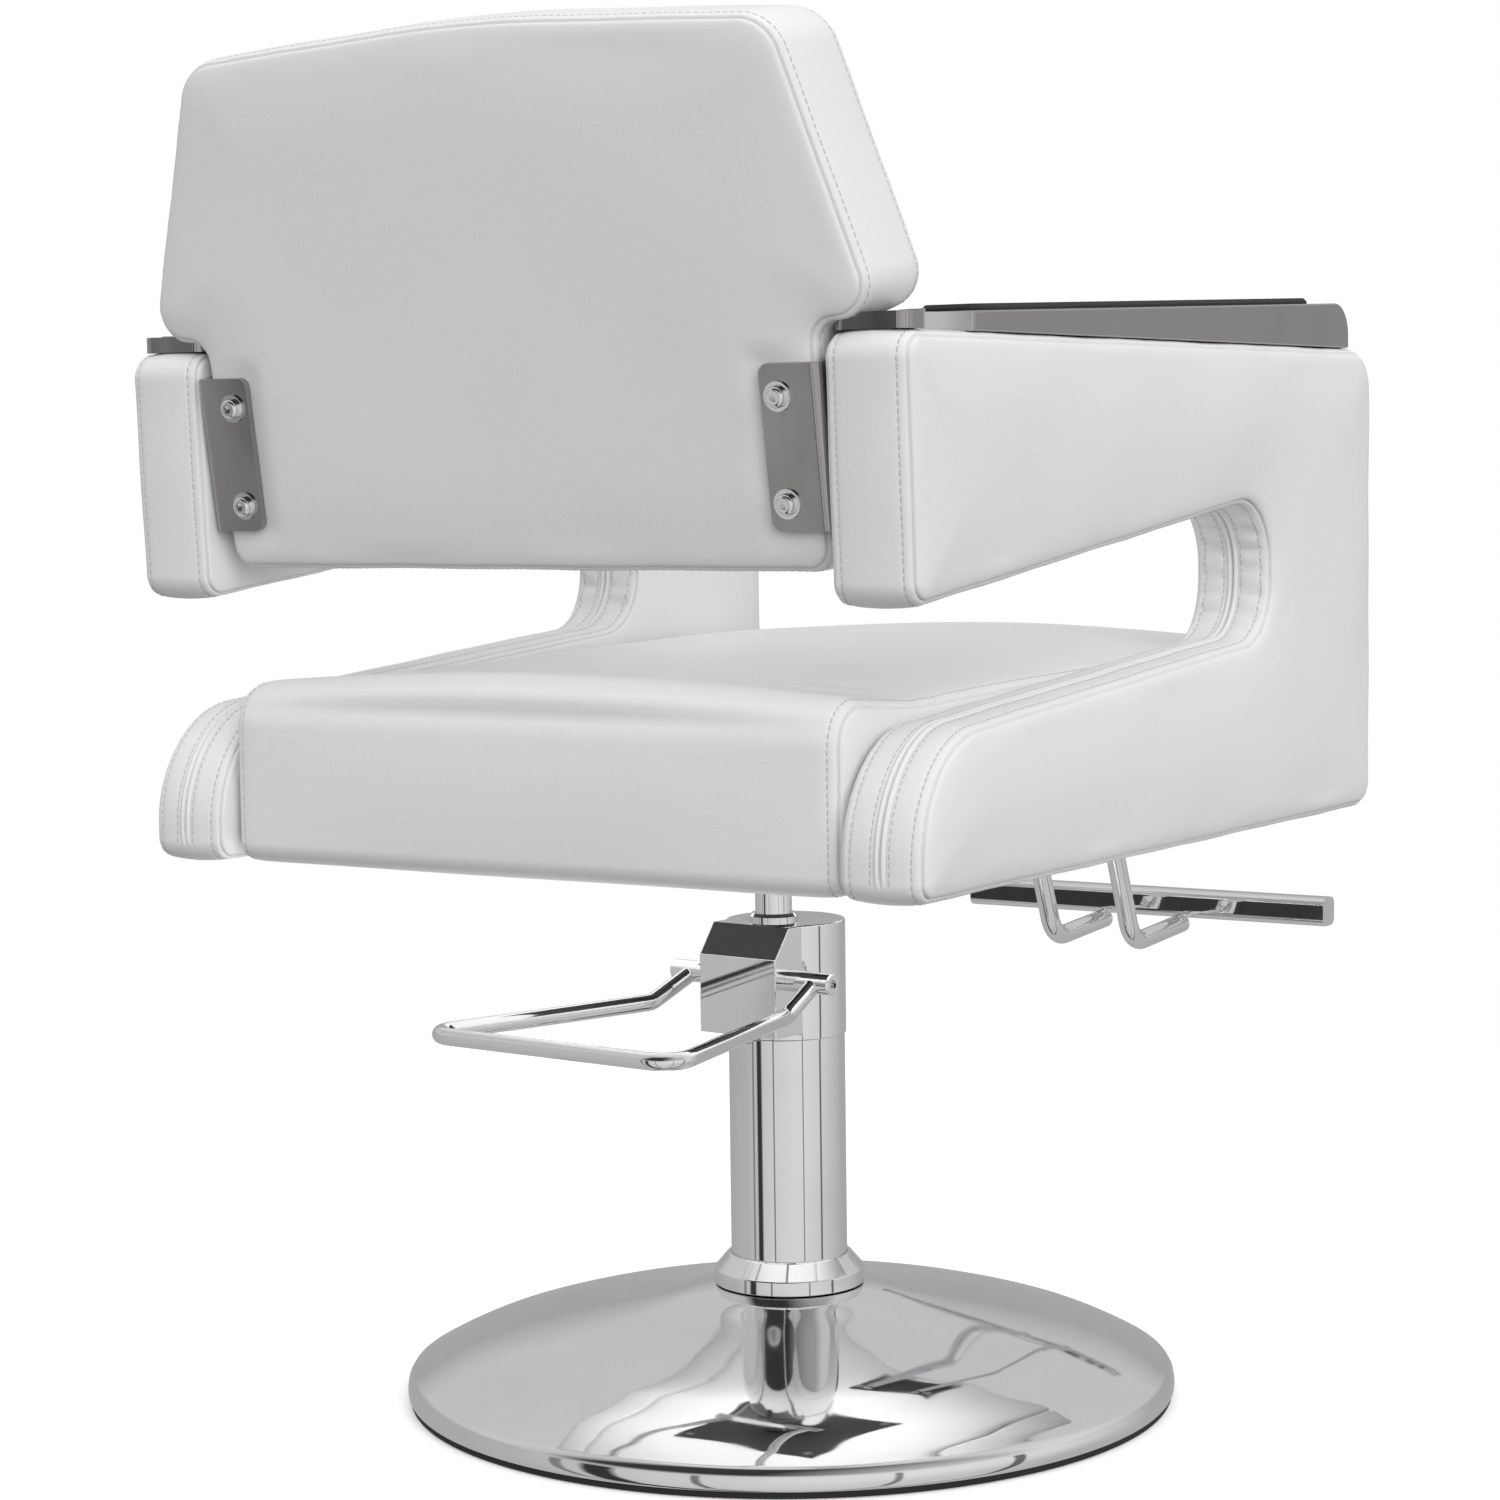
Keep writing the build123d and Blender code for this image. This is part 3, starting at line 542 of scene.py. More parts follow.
def bent_path(corners: Sequence[tuple[float, float, float]], radius: float) -> Array:
    """Evenly spaced points along straight runs whose corners are rounded by arcs of one radius.

    Args:
        corners: The corners of the runs.
        radius: Radius of the arcs.

    Returns:
        Points along the path.
    """
    spots = np.asarray(corners, float)
    pieces = [spots[:1]]
    for before, here, after in zip(spots[:-2], spots[1:-1], spots[2:]):
        back = (before - here) / np.linalg.norm(before - here)
        ahead = (after - here) / np.linalg.norm(after - here)
        half = math.acos(float(np.clip(back @ ahead, -1, 1))) / 2
        middle = (back + ahead) / np.linalg.norm(back + ahead)
        centre = here + middle * radius / math.sin(half)
        start = here + back * radius / math.tan(half) - centre
        sweep = math.pi - 2 * half
        side = ahead * radius / math.tan(half) + here - centre
        side = (side - start * math.cos(sweep)) / math.sin(sweep)
        t = np.linspace(0, sweep, max(6, int(radius * sweep / ARC_STEP)))[:, None]
        pieces.append(centre + start * np.cos(t) + side * np.sin(t))
    pieces.append(spots[-1:])
    rough = np.vstack(pieces)
    along = np.concatenate([[0], np.cumsum(np.linalg.norm(np.diff(rough, axis=0), axis=1))])
    ticks = np.linspace(0, along[-1], int(along[-1] / PATH_STEP) + 1)
    return np.stack([np.interp(ticks, along, rough[:, k]) for k in range(3)], axis=1)


def capped(rings: Array, first: Array, last: Array) -> Surface:
    """Rings of points joined into a wall, and each end closed by a cone to one point.

    Args:
        rings: Points, by ring and by place round it.
        first: The point that closes the first ring.
        last: The point that closes the last ring.

    Returns:
        The closed surface, its faces looking out.
    """
    count, steps, _ = rings.shape
    around = np.arange(steps)
    following = (around + 1) % steps
    end = (count - 1) * steps
    caps = [np.stack([around, following, np.full(steps, count * steps)], axis=1),
            np.stack([end + following, end + around, np.full(steps, count * steps + 1)], axis=1)]
    points = np.vstack([rings.reshape(-1, 3), first, last])
    return Surface(points, grid_quads(count, steps, False, True)[:, ::-1], np.vstack(caps)).outward()


def tube(path: Array, radius: float, upright: Sequence[float], steps: int = 32) -> Surface:
    """A round section carried along a path.

    At each point the section lies in the plane square to the path, with one axis square to `upright`:
    p + r (cos a n + sin a b), where n = t x upright and b = t x n.

    Args:
        path: Points along the tube's axis.
        radius: Radius of the tube.
        upright: A direction that the path never runs along.
        steps: Steps round the section.

    Returns:
        The tube, its faces looking out.
    """
    ahead = np.gradient(path, axis=0)
    ahead /= np.linalg.norm(ahead, axis=1, keepdims=True)
    across = np.cross(ahead, np.asarray(upright, float))
    across /= np.linalg.norm(across, axis=1, keepdims=True)
    other = np.cross(ahead, across)
    angle = np.linspace(0, 2 * math.pi, steps, endpoint=False)[None, :, None]
    rings = path[:, None] + radius * (np.cos(angle) * across[:, None] + np.sin(angle) * other[:, None])
    return capped(rings, path[0], path[-1])


# ---------------------------------------------------------------------- outlines
@dataclass(frozen=True)
class Outline:
    """A closed outline through (u, v, radius) corners, each rounded by an arc."""

    corners: tuple[tuple[float, float, float], ...]

    def anticlockwise(self) -> list[tuple[float, float, float]]:
        """The corners listed anticlockwise, whichever way they were given."""
        u, v, _ = np.array(self.corners).T
        area = float(np.sum(u * np.roll(v, -1) - v * np.roll(u, -1)))
        return list(self.corners) if area > 0 else list(reversed(self.corners))

    def sampled(self, step: float, turn: float = math.radians(6.0)) -> tuple[Array, Array, Array]:
        """Points along the outline, close together on its arcs.

        Args:
            step: Largest spacing.
            turn: Largest turn between points on an arc.

        Returns:
            Points, outward normals and distances along the outline.
        """
        corners = self.anticlockwise()
        count = len(corners)
        spots, normals, arcs = [], [], []
        for i, (u, v, radius) in enumerate(corners):
            here = np.array([u, v])
            back = np.array(corners[i - 1][:2]) - here
            ahead = np.array(corners[(i + 1) % count][:2]) - here
            back, ahead = back / np.linalg.norm(back), ahead / np.linalg.norm(ahead)
            half = math.acos(float(np.clip(back @ ahead, -1, 1))) / 2
            reach = radius / math.tan(half)
            convex = -back[0] * ahead[1] + back[1] * ahead[0] > 0
            centre = here + (back + ahead) / np.linalg.norm(back + ahead) * radius / math.sin(half)
            start = here + back * reach - centre
            sweep = (math.pi - 2 * half) * (1 if convex else -1)
            steps = max(2, int(abs(sweep) / turn), int(abs(sweep) * radius / step)) + 1
            angle = math.atan2(start[1], start[0]) + np.linspace(0, sweep, steps)
            rim = np.stack([np.cos(angle), np.sin(angle)], axis=1)
            arcs.append((centre + radius * rim, rim if convex else -rim))
        for i, (points, facing) in enumerate(arcs):
            following = arcs[(i + 1) % count][0][0]
            run = following - points[-1]
            length = float(np.linalg.norm(run))
            share = np.linspace(0, 1, max(1, int(length / step)) + 1)[1:-1, None]
            spots += [points, points[-1] + run * share]
            normals += [facing, np.tile([run[1] / length, -run[0] / length], (len(share), 1))]
        spots, normals = np.vstack(spots), np.vstack(normals)
        gaps = np.linalg.norm(np.roll(spots, -1, axis=0) - spots, axis=1)
        keep = gaps > 1e-4
        spots, normals, gaps = spots[keep], normals[keep], gaps[keep]
        return spots, normals, np.concatenate([[0], np.cumsum(gaps)[:-1]])


def inside_and_distance(points: Array, loop: Array) -> tuple[Array, Array]:
    """Which points lie in a closed loop, by counting crossings, and how far each is from it.

    Args:
        points: Points to test.
        loop: Corners of the loop.

    Returns:
        Whether each point is inside, and its distance to the nearest side.
    """
    a, b = loop[None], np.roll(loop, -1, axis=0)[None]
    p = points[:, None]
    rises = (a[..., 1] > p[..., 1]) != (b[..., 1] > p[..., 1])
    slope = (b[..., 0] - a[..., 0]) / np.where(b[..., 1] == a[..., 1], 1e-12, b[..., 1] - a[..., 1])
    crossed = rises & (p[..., 0] < a[..., 0] + slope * (p[..., 1] - a[..., 1]))
    side = b - a
    share = np.clip(((p - a) * side).sum(-1) / np.maximum((side ** 2).sum(-1), 1e-12), 0, 1)
    gap = np.linalg.norm(p - a - share[..., None] * side, axis=-1)
    return crossed.sum(axis=1) % 2 == 1, gap.min(axis=1)


def hump(x: Array, width: float) -> Array:
    """A smooth hump of height 1 at 0: exp(-(x / width)^2)."""
    return np.exp(-(x / width) ** 2)


def step_up(x: Array, start: float, end: float) -> Array:
    """0 before start, 1 after end, and a smooth S between: t^2 (3 - 2 t)."""
    t = np.clip((x - start) / (end - start), 0, 1)
    return t * t * (3 - 2 * t)


# -------------------------------------------------------------------------- pads
class Lay(Enum):
    """How a pad's own axes (u, v, w) lie in the chair."""

    UPRIGHT = "side view: u runs to the rear, v up and w to the sitter's left"
    RAKED = "back view: u runs to the sitter's left, v up the back and w to the sitter"


NEAR_SEAM = (-5.0, -3.2, -2.0, -1.2, -0.6, 0.0, 0.6, 1.2, 2.0, 3.2, 4.6, 6.2, 7.2)   # rows beside a seam
NEAR_STITCHES = (0.0, 0.8, 1.8)                                                       # beside its stitches
NEAR_ZIP = (0.0, 0.5, 1.0, 1.7, 2.3, 3.0, 3.7, 4.5, 5.2, 6.1, 6.8, 7.6)               # beside a zip's middle


@dataclass
class Zip:
    """A zip sunk between two lips along part of a boxing.

    Each feature has its distance from the zip's middle, its height or depth, and its width.
    """

    start: tuple[float, float]
    end: tuple[float, float]
    off_middle: float = 0.0
    groove: float = 2.4
    groove_width: float = 0.8
    lip: float = 2.3
    lip_height: float = 1.0
    lip_width: float = 1.3
    fold: float = 2.1
    fold_depth: float = 0.9
    fold_width: float = 0.7
    stitch: float = 6.8
    stitch_depth: float = 0.35
    stitch_width: float = 0.9

    def height(self, q: Array) -> Array:
        """Height across the zip: a groove, two lips, their outer folds and the sunk stitch lines."""
        side = np.abs(q)
        return (-self.groove * hump(q, self.groove_width)
                + self.lip_height * hump(side - self.lip, self.lip_width)
                - self.fold_depth * hump(side - self.lip - self.fold, self.fold_width)
                - self.stitch_depth * hump(side - self.stitch, self.stitch_width))


@dataclass
class BoxedPad:
    """A pad with two panels sewn to a boxing that runs round its outline.

    The section across the boxing has a rounded edge at each panel, with the seam in the middle of that edge.
    A point of the boxing is outline(s) - inset(x) n(s) at depth(x), moved along its normal by the heights of
    seam, stitch line, crown and wrinkles. A panel is a net of triangles that shares the boxing's last row.
    """

    outline: Outline
    low: float
    high: float
    lay: Lay = Lay.UPRIGHT
    origin: tuple[float, float, float] = (0.0, 0.0, 0.0)
    rake: float = 0.0
    edge_low: float = 9.0
    edge_high: float = 9.0
    crown_low: float = 4.0
    crown_high: float = 4.0
    crown_reach: float = 30.0
    box_crown: float = 1.2
    pulled_in: float = 1.5
    step: float = 4.5
    net: float = 6.0
    border: float = 12.0
    stitch_off: float = 8.0
    seam_depth: float = 2.2
    seam_width: float = 0.8
    swell: tuple[float, float, float] = (0.35, 3.2, 2.0)     # beside a seam: height, distance, width
    stitch_dip: tuple[float, float] = (0.4, 0.9)             # under the stitches: depth, width
    pull_reach: float = 9.0
    box_reach: float = 22.0
    pucker: float = 0.16
    zip: Optional[Zip] = None
    box_height: Optional[Callable[[Array, Array, Array, Array], Array]] = None
    panel_height: Optional[Callable[[Array, Array, bool], Array]] = None

    # ---- the section across the boxing
    def section(self) -> dict[str, Array]:
        """Rows across the boxing, close together at seams, stitch lines and zip.

        Returns:
            For each row its inset, depth, the two parts of its normal, and its distances from both seams.
        """
        quarter_low, quarter_high = math.pi * self.edge_low / 2, math.pi * self.edge_high / 2
        flat_low, flat_high = self.border - self.edge_low, self.border - self.edge_high
        width = self.high - self.low - self.edge_low - self.edge_high
        marks = np.cumsum([0, flat_low, quarter_low, width, quarter_high, flat_high])
        seam_low, seam_high = marks[1] + quarter_low / 2, marks[4] - quarter_high / 2
        near_seam = np.concatenate([NEAR_SEAM, self.stitch_off + np.array(NEAR_STITCHES)])
        middle = (marks[2] + marks[3]) / 2
        rows = [marks[:1], marks[-1:], seam_low + near_seam, seam_high - near_seam,
                np.linspace(marks[2], marks[3], max(2, int(width / self.step)) + 1)]
        if self.zip is not None:
            near_zip, zip_at = np.array(NEAR_ZIP), middle + self.zip.off_middle
            rows += [zip_at + near_zip, zip_at - near_zip]
        x = np.unique(np.clip(np.concatenate(rows), 0, marks[-1]))
        keep = np.concatenate([[True], np.diff(x) > 0.35])
        keep[-1] = True
        x = x[keep]
        turn_low = np.clip((x - marks[1]) / self.edge_low, 0, math.pi / 2)
        turn_high = np.clip((marks[4] - x) / self.edge_high, 0, math.pi / 2)
        inset_low = np.where(x < marks[1], self.border - x, self.edge_low * (1 - np.sin(turn_low)))
        inset_high = np.where(x > marks[4], self.border - (marks[5] - x),
                              self.edge_high * (1 - np.sin(turn_high)))
        first_half = x < middle
        depth_low = self.low + self.edge_low * (1 - np.cos(turn_low)) + np.clip(x - marks[2], 0, None)
        depth_high = self.high - self.edge_high * (1 - np.cos(turn_high)) - np.clip(marks[3] - x, 0, None)
        return {
            "inset": np.where(first_half, inset_low, inset_high),
            "depth": np.where(first_half, depth_low, depth_high),
            "out": np.where(first_half, np.sin(turn_low), np.sin(turn_high)),
            "along": np.where(first_half, -np.cos(turn_low), np.cos(turn_high)),
            "from_low": x - seam_low,
            "from_high": seam_high - x,
            "from_middle": x - middle,
        }

    def sewn(self, away: Array) -> Array:
        """Height beside a seam: the sunk seam, the swell beside it and the sunk stitch line on the boxing."""
        rise, off, width = self.swell
        dip, dip_width = self.stitch_dip
        return (-self.seam_depth * hump(away, self.seam_width) + rise * hump(np.abs(away) - off, width)
                - dip * hump(away - self.stitch_off, dip_width))

    def crown(self, away: Array, height: float) -> Array:
        """Height of a panel at a distance from its seam, pulled in at the seam."""
        return height * (1 - hump(away, self.crown_reach)) - self.pulled_in * hump(away, self.pull_reach)

    # ---- from the pad's own axes to the chair
    def axes(self) -> Array:
        """The pad's u, v and w directions as columns."""
        if self.lay is Lay.UPRIGHT:
            return np.array([[0, 0, 1], [1, 0, 0], [0, 1, 0]], float)
        lean = math.radians(self.rake)
        return np.array([[1, 0, 0], [0, math.sin(lean), -math.cos(lean)],
                         [0, math.cos(lean), math.sin(lean)]])

    def placed(self, points: Array) -> Array:
        """Points from the pad's own axes to the chair's."""
        return points @ self.axes().T + np.asarray(self.origin)

    # ---- building
    def zip_share(self, spots: Array, along: Array) -> Array:
        """How far the zip is present at each point of the outline, with short tapered ends."""
        ends = [float(along[np.argmin(np.linalg.norm(spots - np.array(spot), axis=1))])
                for spot in (self.zip.start, self.zip.end)]
        first, last = min(ends), max(ends)
        return step_up(along, first - 4, first + 4) * (1 - step_up(along, last - 4, last + 4))

    def build(self) -> tuple[Surface, Surface]:
        """Work out the pad and its threads.

        Returns:
            The closed pad, and its stitches as one surface.
        """
        spots, normals, along = self.outline.sampled(self.step)
        rows = self.section()
        s = along[:, None]
        low, high, middle = rows["from_low"][None], rows["from_high"][None], rows["from_middle"][None]
        nearest = np.minimum(low, high)
        pucker = np.sin(s / 1.7 + 1.9 * np.sin(s / 31.0)) * 0.5 + np.sin(s / 4.9 + 0.7) * 0.5
        height = (self.sewn(low) + self.sewn(high)
                  + np.where(nearest < 0, 0.0, self.box_crown * (1 - hump(nearest, self.box_reach)))
                  - self.pulled_in * np.where(nearest >= 0, hump(nearest, self.pull_reach), 0.0)
                  + np.where(low < 0, self.crown(low, self.crown_low), 0.0)
                  + np.where(high < 0, self.crown(high, self.crown_high), 0.0)
                  + self.pucker * pucker * (hump(low - 4.0, 4.0) + hump(high - 4.0, 4.0)))
        if self.zip is not None:
            present = self.zip_share(spots, along)[:, None]
            height = height + present * self.zip.height(middle - self.zip.off_middle)
        if self.box_height is not None:
            u, v = spots[:, None, 0] + 0 * low, spots[:, None, 1] + 0 * low
            height = height + self.box_height(s, u, v, middle + 0 * s)
        flat = spots[:, None] - rows["inset"][None, :, None] * normals[:, None]
        out = (height * rows["out"])[..., None] * normals[:, None]
        deep = rows["depth"][None] + height * rows["along"]
        band = np.concatenate([flat + out, deep[..., None]], axis=-1)
        cols = band.shape[1]
        parts = [band.reshape(-1, 3)]
        quads = grid_quads(len(along), cols, True, False)
        tris, start = [], len(parts[0])
        for at_low in (True, False):
            column = 0 if at_low else cols - 1
            rim = np.arange(len(along)) * cols + column
            inner, faces = self.panel(band[:, column, :2], spots, at_low)
            numbers = np.concatenate([rim, start + np.arange(len(inner))])
            tris.append(numbers[faces] if at_low else numbers[faces][:, ::-1])
            parts.append(inner)
            start += len(inner)
        solid = self.faced(Surface(self.placed(np.vstack(parts)), quads, np.vstack(tris)))
        deepwards = np.broadcast_to(rows["along"][None, :, None], (len(along), cols, 1))
        facing = np.concatenate([rows["out"][None, :, None] * normals[:, None], deepwards], axis=-1)
        return solid, self.threads(band, facing, rows, spots, along)

    def faced(self, solid: Surface) -> Surface:
        """Turn the boxing and the panels, each as a whole, so that their faces look away from the middle."""
        middle = solid.points.mean(axis=0)
        quads, tris = (faces if six_volumes(solid.points, faces[:, :3], middle) > 0 else faces[:, ::-1]
                       for faces in (solid.quads, solid.tris))
        return Surface(solid.points, quads, tris)

    def panel(self, rim: Array, spots: Array, at_low: bool) -> tuple[Array, Array]:
        """Fill one panel with a net of triangles inside the boxing's last row.

        Args:
            rim: The row's points in (u, v).
            spots: The outline's points, from which heights are measured.
            at_low: Whether this is the panel at the low end of w.

        Returns:
            New vertices in (u, v, w), and faces numbered over rim then new vertices.
        """
        least, most = rim.min(axis=0), rim.max(axis=0)
        rise = self.net * math.sqrt(3) / 2
        v = np.arange(least[1], most[1], rise)
        u = np.arange(least[0], most[0], self.net)
        net_u, net_v = np.meshgrid(u, v)
        net_u = net_u + (np.arange(len(v)) % 2)[:, None] * self.net / 2
        net = np.stack([net_u.ravel(), net_v.ravel()], axis=1)
        held, gap = inside_and_distance(net, rim)
        net = net[held & (gap > self.net * 0.55)]
        _, away = inside_and_distance(net, spots)
        edge = self.edge_low if at_low else self.edge_high
        away = away - edge + math.pi * edge / 4
        height = self.crown(away, self.crown_low if at_low else self.crown_high)
        height = height + self.sewn(-away)
        if self.panel_height is not None:
            height = height + self.panel_height(net[:, 0], net[:, 1], at_low)
        deep = self.low - height if at_low else self.high + height
        sides = [(i, (i + 1) % len(rim)) for i in range(len(rim))]
        flat = [Vector(p) for p in np.vstack([rim, net]).tolist()]
        _, _, faces, origins, _, _ = delaunay_2d_cdt(flat, sides, [], 1, 1e-6)
        source = np.array([found[0] for found in origins])
        return np.column_stack([net, deep]), source[np.array(faces)]

    def threads(self, band: Array, facing: Array, rows: dict, spots: Array, along: Array) -> Surface:
        """Stitches laid along the stitch lines, and beside the zip.

        Args:
            band: The boxing's points in (u, v, w).
            facing: Their normals.
            rows: The section.
            spots: The outline's points.
            along: Distances along the outline.

        Returns:
            All the stitches as one surface.
        """
        everywhere = np.ones(len(along))
        lines = [(int(np.argmin(np.abs(rows[side] - self.stitch_off))), everywhere)
                 for side in ("from_low", "from_high")]
        if self.zip is not None:
            share = self.zip_share(spots, along)
            off_zip = rows["from_middle"] - self.zip.off_middle
            lines += [(int(np.argmin(np.abs(off_zip - side * self.zip.stitch))), share) for side in (-1, 1)]
        made = [row_of_stitches(self.placed(band[:, column]), facing[:, column] @ self.axes().T, share)
                for column, share in lines]
        return joined(made)


def capsule() -> Surface:
    """A rounded stick of length 1 and radius 1 along x: four rings with a point at each end."""
    where = np.array([-0.42, -0.25, 0.25, 0.42])
    size = np.array([0.62, 1.0, 1.0, 0.62])
    angle = np.linspace(0, 2 * math.pi, 6, endpoint=False)
    rings = np.stack([np.repeat(where[:, None], 6, axis=1), np.outer(size, np.cos(angle)),
                      np.outer(size, np.sin(angle))], axis=-1)
    return capped(rings, np.array([-0.5, 0.0, 0.0]), np.array([0.5, 0.0, 0.0]))


STITCH = capsule()
STITCH_PITCH = 5.4
STITCH_LENGTH = 3.9
STITCH_RADIUS = 0.5
STITCH_LIFT = 0.1


def row_of_stitches(line: Array, facing: Array, share: Array) -> Surface:
    """One stitch after another along a closed line, each lying half sunk in the surface.

    A stitch's point is c + L x t + R (y b + z n), with t along the line, n out of the surface and b = n x t.

    Args:
        line: Points of the line.
        facing: Surface normals there.
        share: Where stitches are present, above one half.

    Returns:
        The stitches as one surface.
    """
    closed = np.vstack([line, line[:1]])
    ticks = np.concatenate([[0], np.cumsum(np.linalg.norm(np.diff(closed, axis=0), axis=1))])
    total = ticks[-1]
    count = int(total / STITCH_PITCH)
    middles = (np.arange(count) + 0.5) * total / count

    def at(where: Array, values: Array) -> Array:
        """Values read off along the line."""
        looped = np.vstack([values, values[:1]]).T
        return np.stack([np.interp(where % total, ticks, column) for column in looped], axis=1)

    half = STITCH_LENGTH / 2
    ahead = at(middles + half, line) - at(middles - half, line)
    ahead /= np.linalg.norm(ahead, axis=1, keepdims=True)
    out = at(middles, facing)
    out -= (out * ahead).sum(axis=1, keepdims=True) * ahead
    out /= np.linalg.norm(out, axis=1, keepdims=True)
    across = np.cross(out, ahead)
    present = at(middles, share[:, None])[:, 0] > 0.5
    centre, ahead, across, out = (part[present] for part in (at(middles, line), ahead, across, out))
    x, y, z = STITCH.points.T[:, None, :, None]
    cloud = (centre[:, None] + STITCH_LENGTH * x * ahead[:, None] + STITCH_RADIUS * y * across[:, None]
             + (STITCH_RADIUS * z + STITCH_LIFT) * out[:, None])
    size = len(STITCH.points)
    shift = (np.arange(len(centre)) * size)[:, None, None]
    return Surface(cloud.reshape(-1, 3), (STITCH.quads[None] + shift).reshape(-1, 4),
                   (STITCH.tris[None] + shift).reshape(-1, 3))


def dressed_pad(pad: BoxedPad, node: str, mirror_node: Optional[str] = None) -> None:
    """Build a pad and its threads, and its mirror image too where it has one.

    Args:
        pad: The pad.
        node: The CAD node it stands for.
        mirror_node: The CAD node that its mirror image stands for.
    """
    solid, threads = pad.build()
    for target, turned in ((node, False), (mirror_node, True)):
        if target is None:
            continue
        body = solid.mirrored() if turned else solid
        sewing = threads.mirrored() if turned else threads
        piece = body.made(f"{target}_pad", VINYL, Body.SEAT, replaces=(target,))
        sewing.made(f"{target}_stitching", SHADE_GREY_THREAD, Body.SEAT)
        log.info("%s: %d vertices and %d stitch vertices", piece.name, len(body.points), len(sewing.points))


# ------------------------------------------------------------------ sub-assemblies
@dataclass
class Arms:
    """The two C-shaped padded arms, with a zip from the window's front down to the rear of the lower bar."""

    inner: float = 251.0
    outer: float = 315.0
    corners: tuple[tuple[float, float, float], ...] = (
        (-395.0, 419.0, 22.0), (-395.0, 778.0, 32.0), (345.0, 778.0, 18.0), (336.0, 605.0, 16.0),
        (-199.0, 666.0, 46.0), (-199.0, 564.0, 44.0), (330.0, 524.5, 84.0), (331.0, 421.0, 14.0))
    window_front: float = -199.0
    gather: float = 5.0
    gather_pitch: float = 15.0
    gather_reach: float = 26.0
    gather_low: tuple[float, float] = (560.0, 585.0)
    gather_high: tuple[float, float] = (655.0, 675.0)
    zip_start: tuple[float, float] = (-150.0, 660.0)
    zip_end: tuple[float, float] = (331.0, 436.0)

    def wrinkles(self, s: Array, y: Array, z: Array, q: Array) -> Array:
        """Gathers across the boxing at the window's front.

        They are puffs between tight creases: the absolute value of a sine of the distance along the outline,
        dying out towards the seams, the zip and either end.

        Args:
            s: Distance along the outline.
            y: Place along the chair.
            z: Height.
            q: Distance from the boxing's middle.

        Returns:
            The height above the plain boxing.
        """
        front = (hump(y - self.window_front, self.gather_reach) * step_up(z, *self.gather_low)
                 * (1 - step_up(z, *self.gather_high)))
        phase = s / self.gather_pitch + 0.25 * np.sin(s / 19.0) + 0.010 * q * np.sin(s / 11.0)
        wave = np.abs(np.sin(math.pi * phase)) - 0.6
        off_zip = step_up(np.abs(q + 1.5), 6.0, 9.0) * (1 - step_up(np.abs(q), 20.0, 27.0))
        slack = 0.35 * np.sin(s / 21.0) * np.sin(s / 57.0 + 1.0)
        return self.gather * front * wave * off_zip + slack

    def swell(self, y: Array, z: Array, at_low: bool) -> Array:
        """Slow unevenness of the side panels: two crossed waves."""
        return 0.5 * np.sin(y / 61.0 + 0.6) * np.sin(z / 47.0 + 1.1) + 0.25 * np.sin((y + z) / 29.0)

    def build(self) -> None:
        """Build the right arm and mirror it."""
        pad = BoxedPad(Outline(self.corners), -self.outer, -self.inner, edge_low=10.0, edge_high=7.0,
                       crown_low=4.2, crown_high=0.6, crown_reach=34.0, pulled_in=1.6,
                       zip=Zip(self.zip_start, self.zip_end, off_middle=-1.5),
                       box_height=self.wrinkles, panel_height=self.swell)
        dressed_pad(pad, "arm_upholstery_right", "arm_upholstery_left")


@dataclass
class SeatPad:
    """The seat cushion: a cover that wraps over front, top and rear between two side panels."""

    half: float = 249.0
    corners: tuple[tuple[float, float, float], ...] = (
        (320.0, 421.0, 14.0), (320.0, 548.0, 30.0), (220.0, 541.0, 200.0), (-240.0, 550.0, 300.0),
        (-390.0, 547.0, 42.0), (-390.0, 421.0, 14.0))
    crease: float = 222.0
    top: float = 534.0
    fullness: float = 13.0
    rear_roll: float = 5.0
    bottom: float = 421.0
    height: float = 137.0

    def sat_on(self, s: Array, y: Array, z: Array, q: Array) -> Array:
        """Crown of the top, the rolled rear, creases across it and slack beside the seams.

        Args:
            s: Distance along the outline; not used.
            y: Place along the chair.
            z: Height.
            q: Distance from the cushion's middle.

        Returns:
            The height above the plain cover.
        """
        upper = step_up(z, self.top - 6.0, self.top + 4.0)
        across = 1 - (q / self.half) ** 2
        crown = self.fullness * across * upper * (1 - hump(y - self.crease, 60.0) * 0.45)
        wander = 9.0 * np.sin(q / 95.0 + 0.8) + 4.0 * np.sin(q / 37.0)
        off = y - self.crease
        folds = (-4.2 * hump(off - wander, 8.0) - 3.4 * hump(off + 48.0 + 1.6 * wander, 12.0)
                 + 1.8 * hump(off + 22.0 + wander, 14.0))
        rise = np.clip((z - self.bottom) / self.height, 0, 1)
        rear = self.rear_roll * across * step_up(y, 300.0, 318.0) * np.sin(rise * math.pi)
        slack = 0.5 * np.sin(q / 41.0 + y / 83.0) * np.sin(y / 57.0 + 0.5)
        return crown + upper * folds * np.clip(1.25 - np.abs(q) / self.half, 0, 1) + rear + slack

    def build(self) -> None:
        """Build the cushion."""
        pad = BoxedPad(Outline(self.corners), -self.half, self.half, edge_low=11.0, edge_high=11.0,
                       crown_low=0.5, crown_high=0.5, box_crown=0.5, step=6.0, box_height=self.sat_on)
        dressed_pad(pad, "seat_cushion")


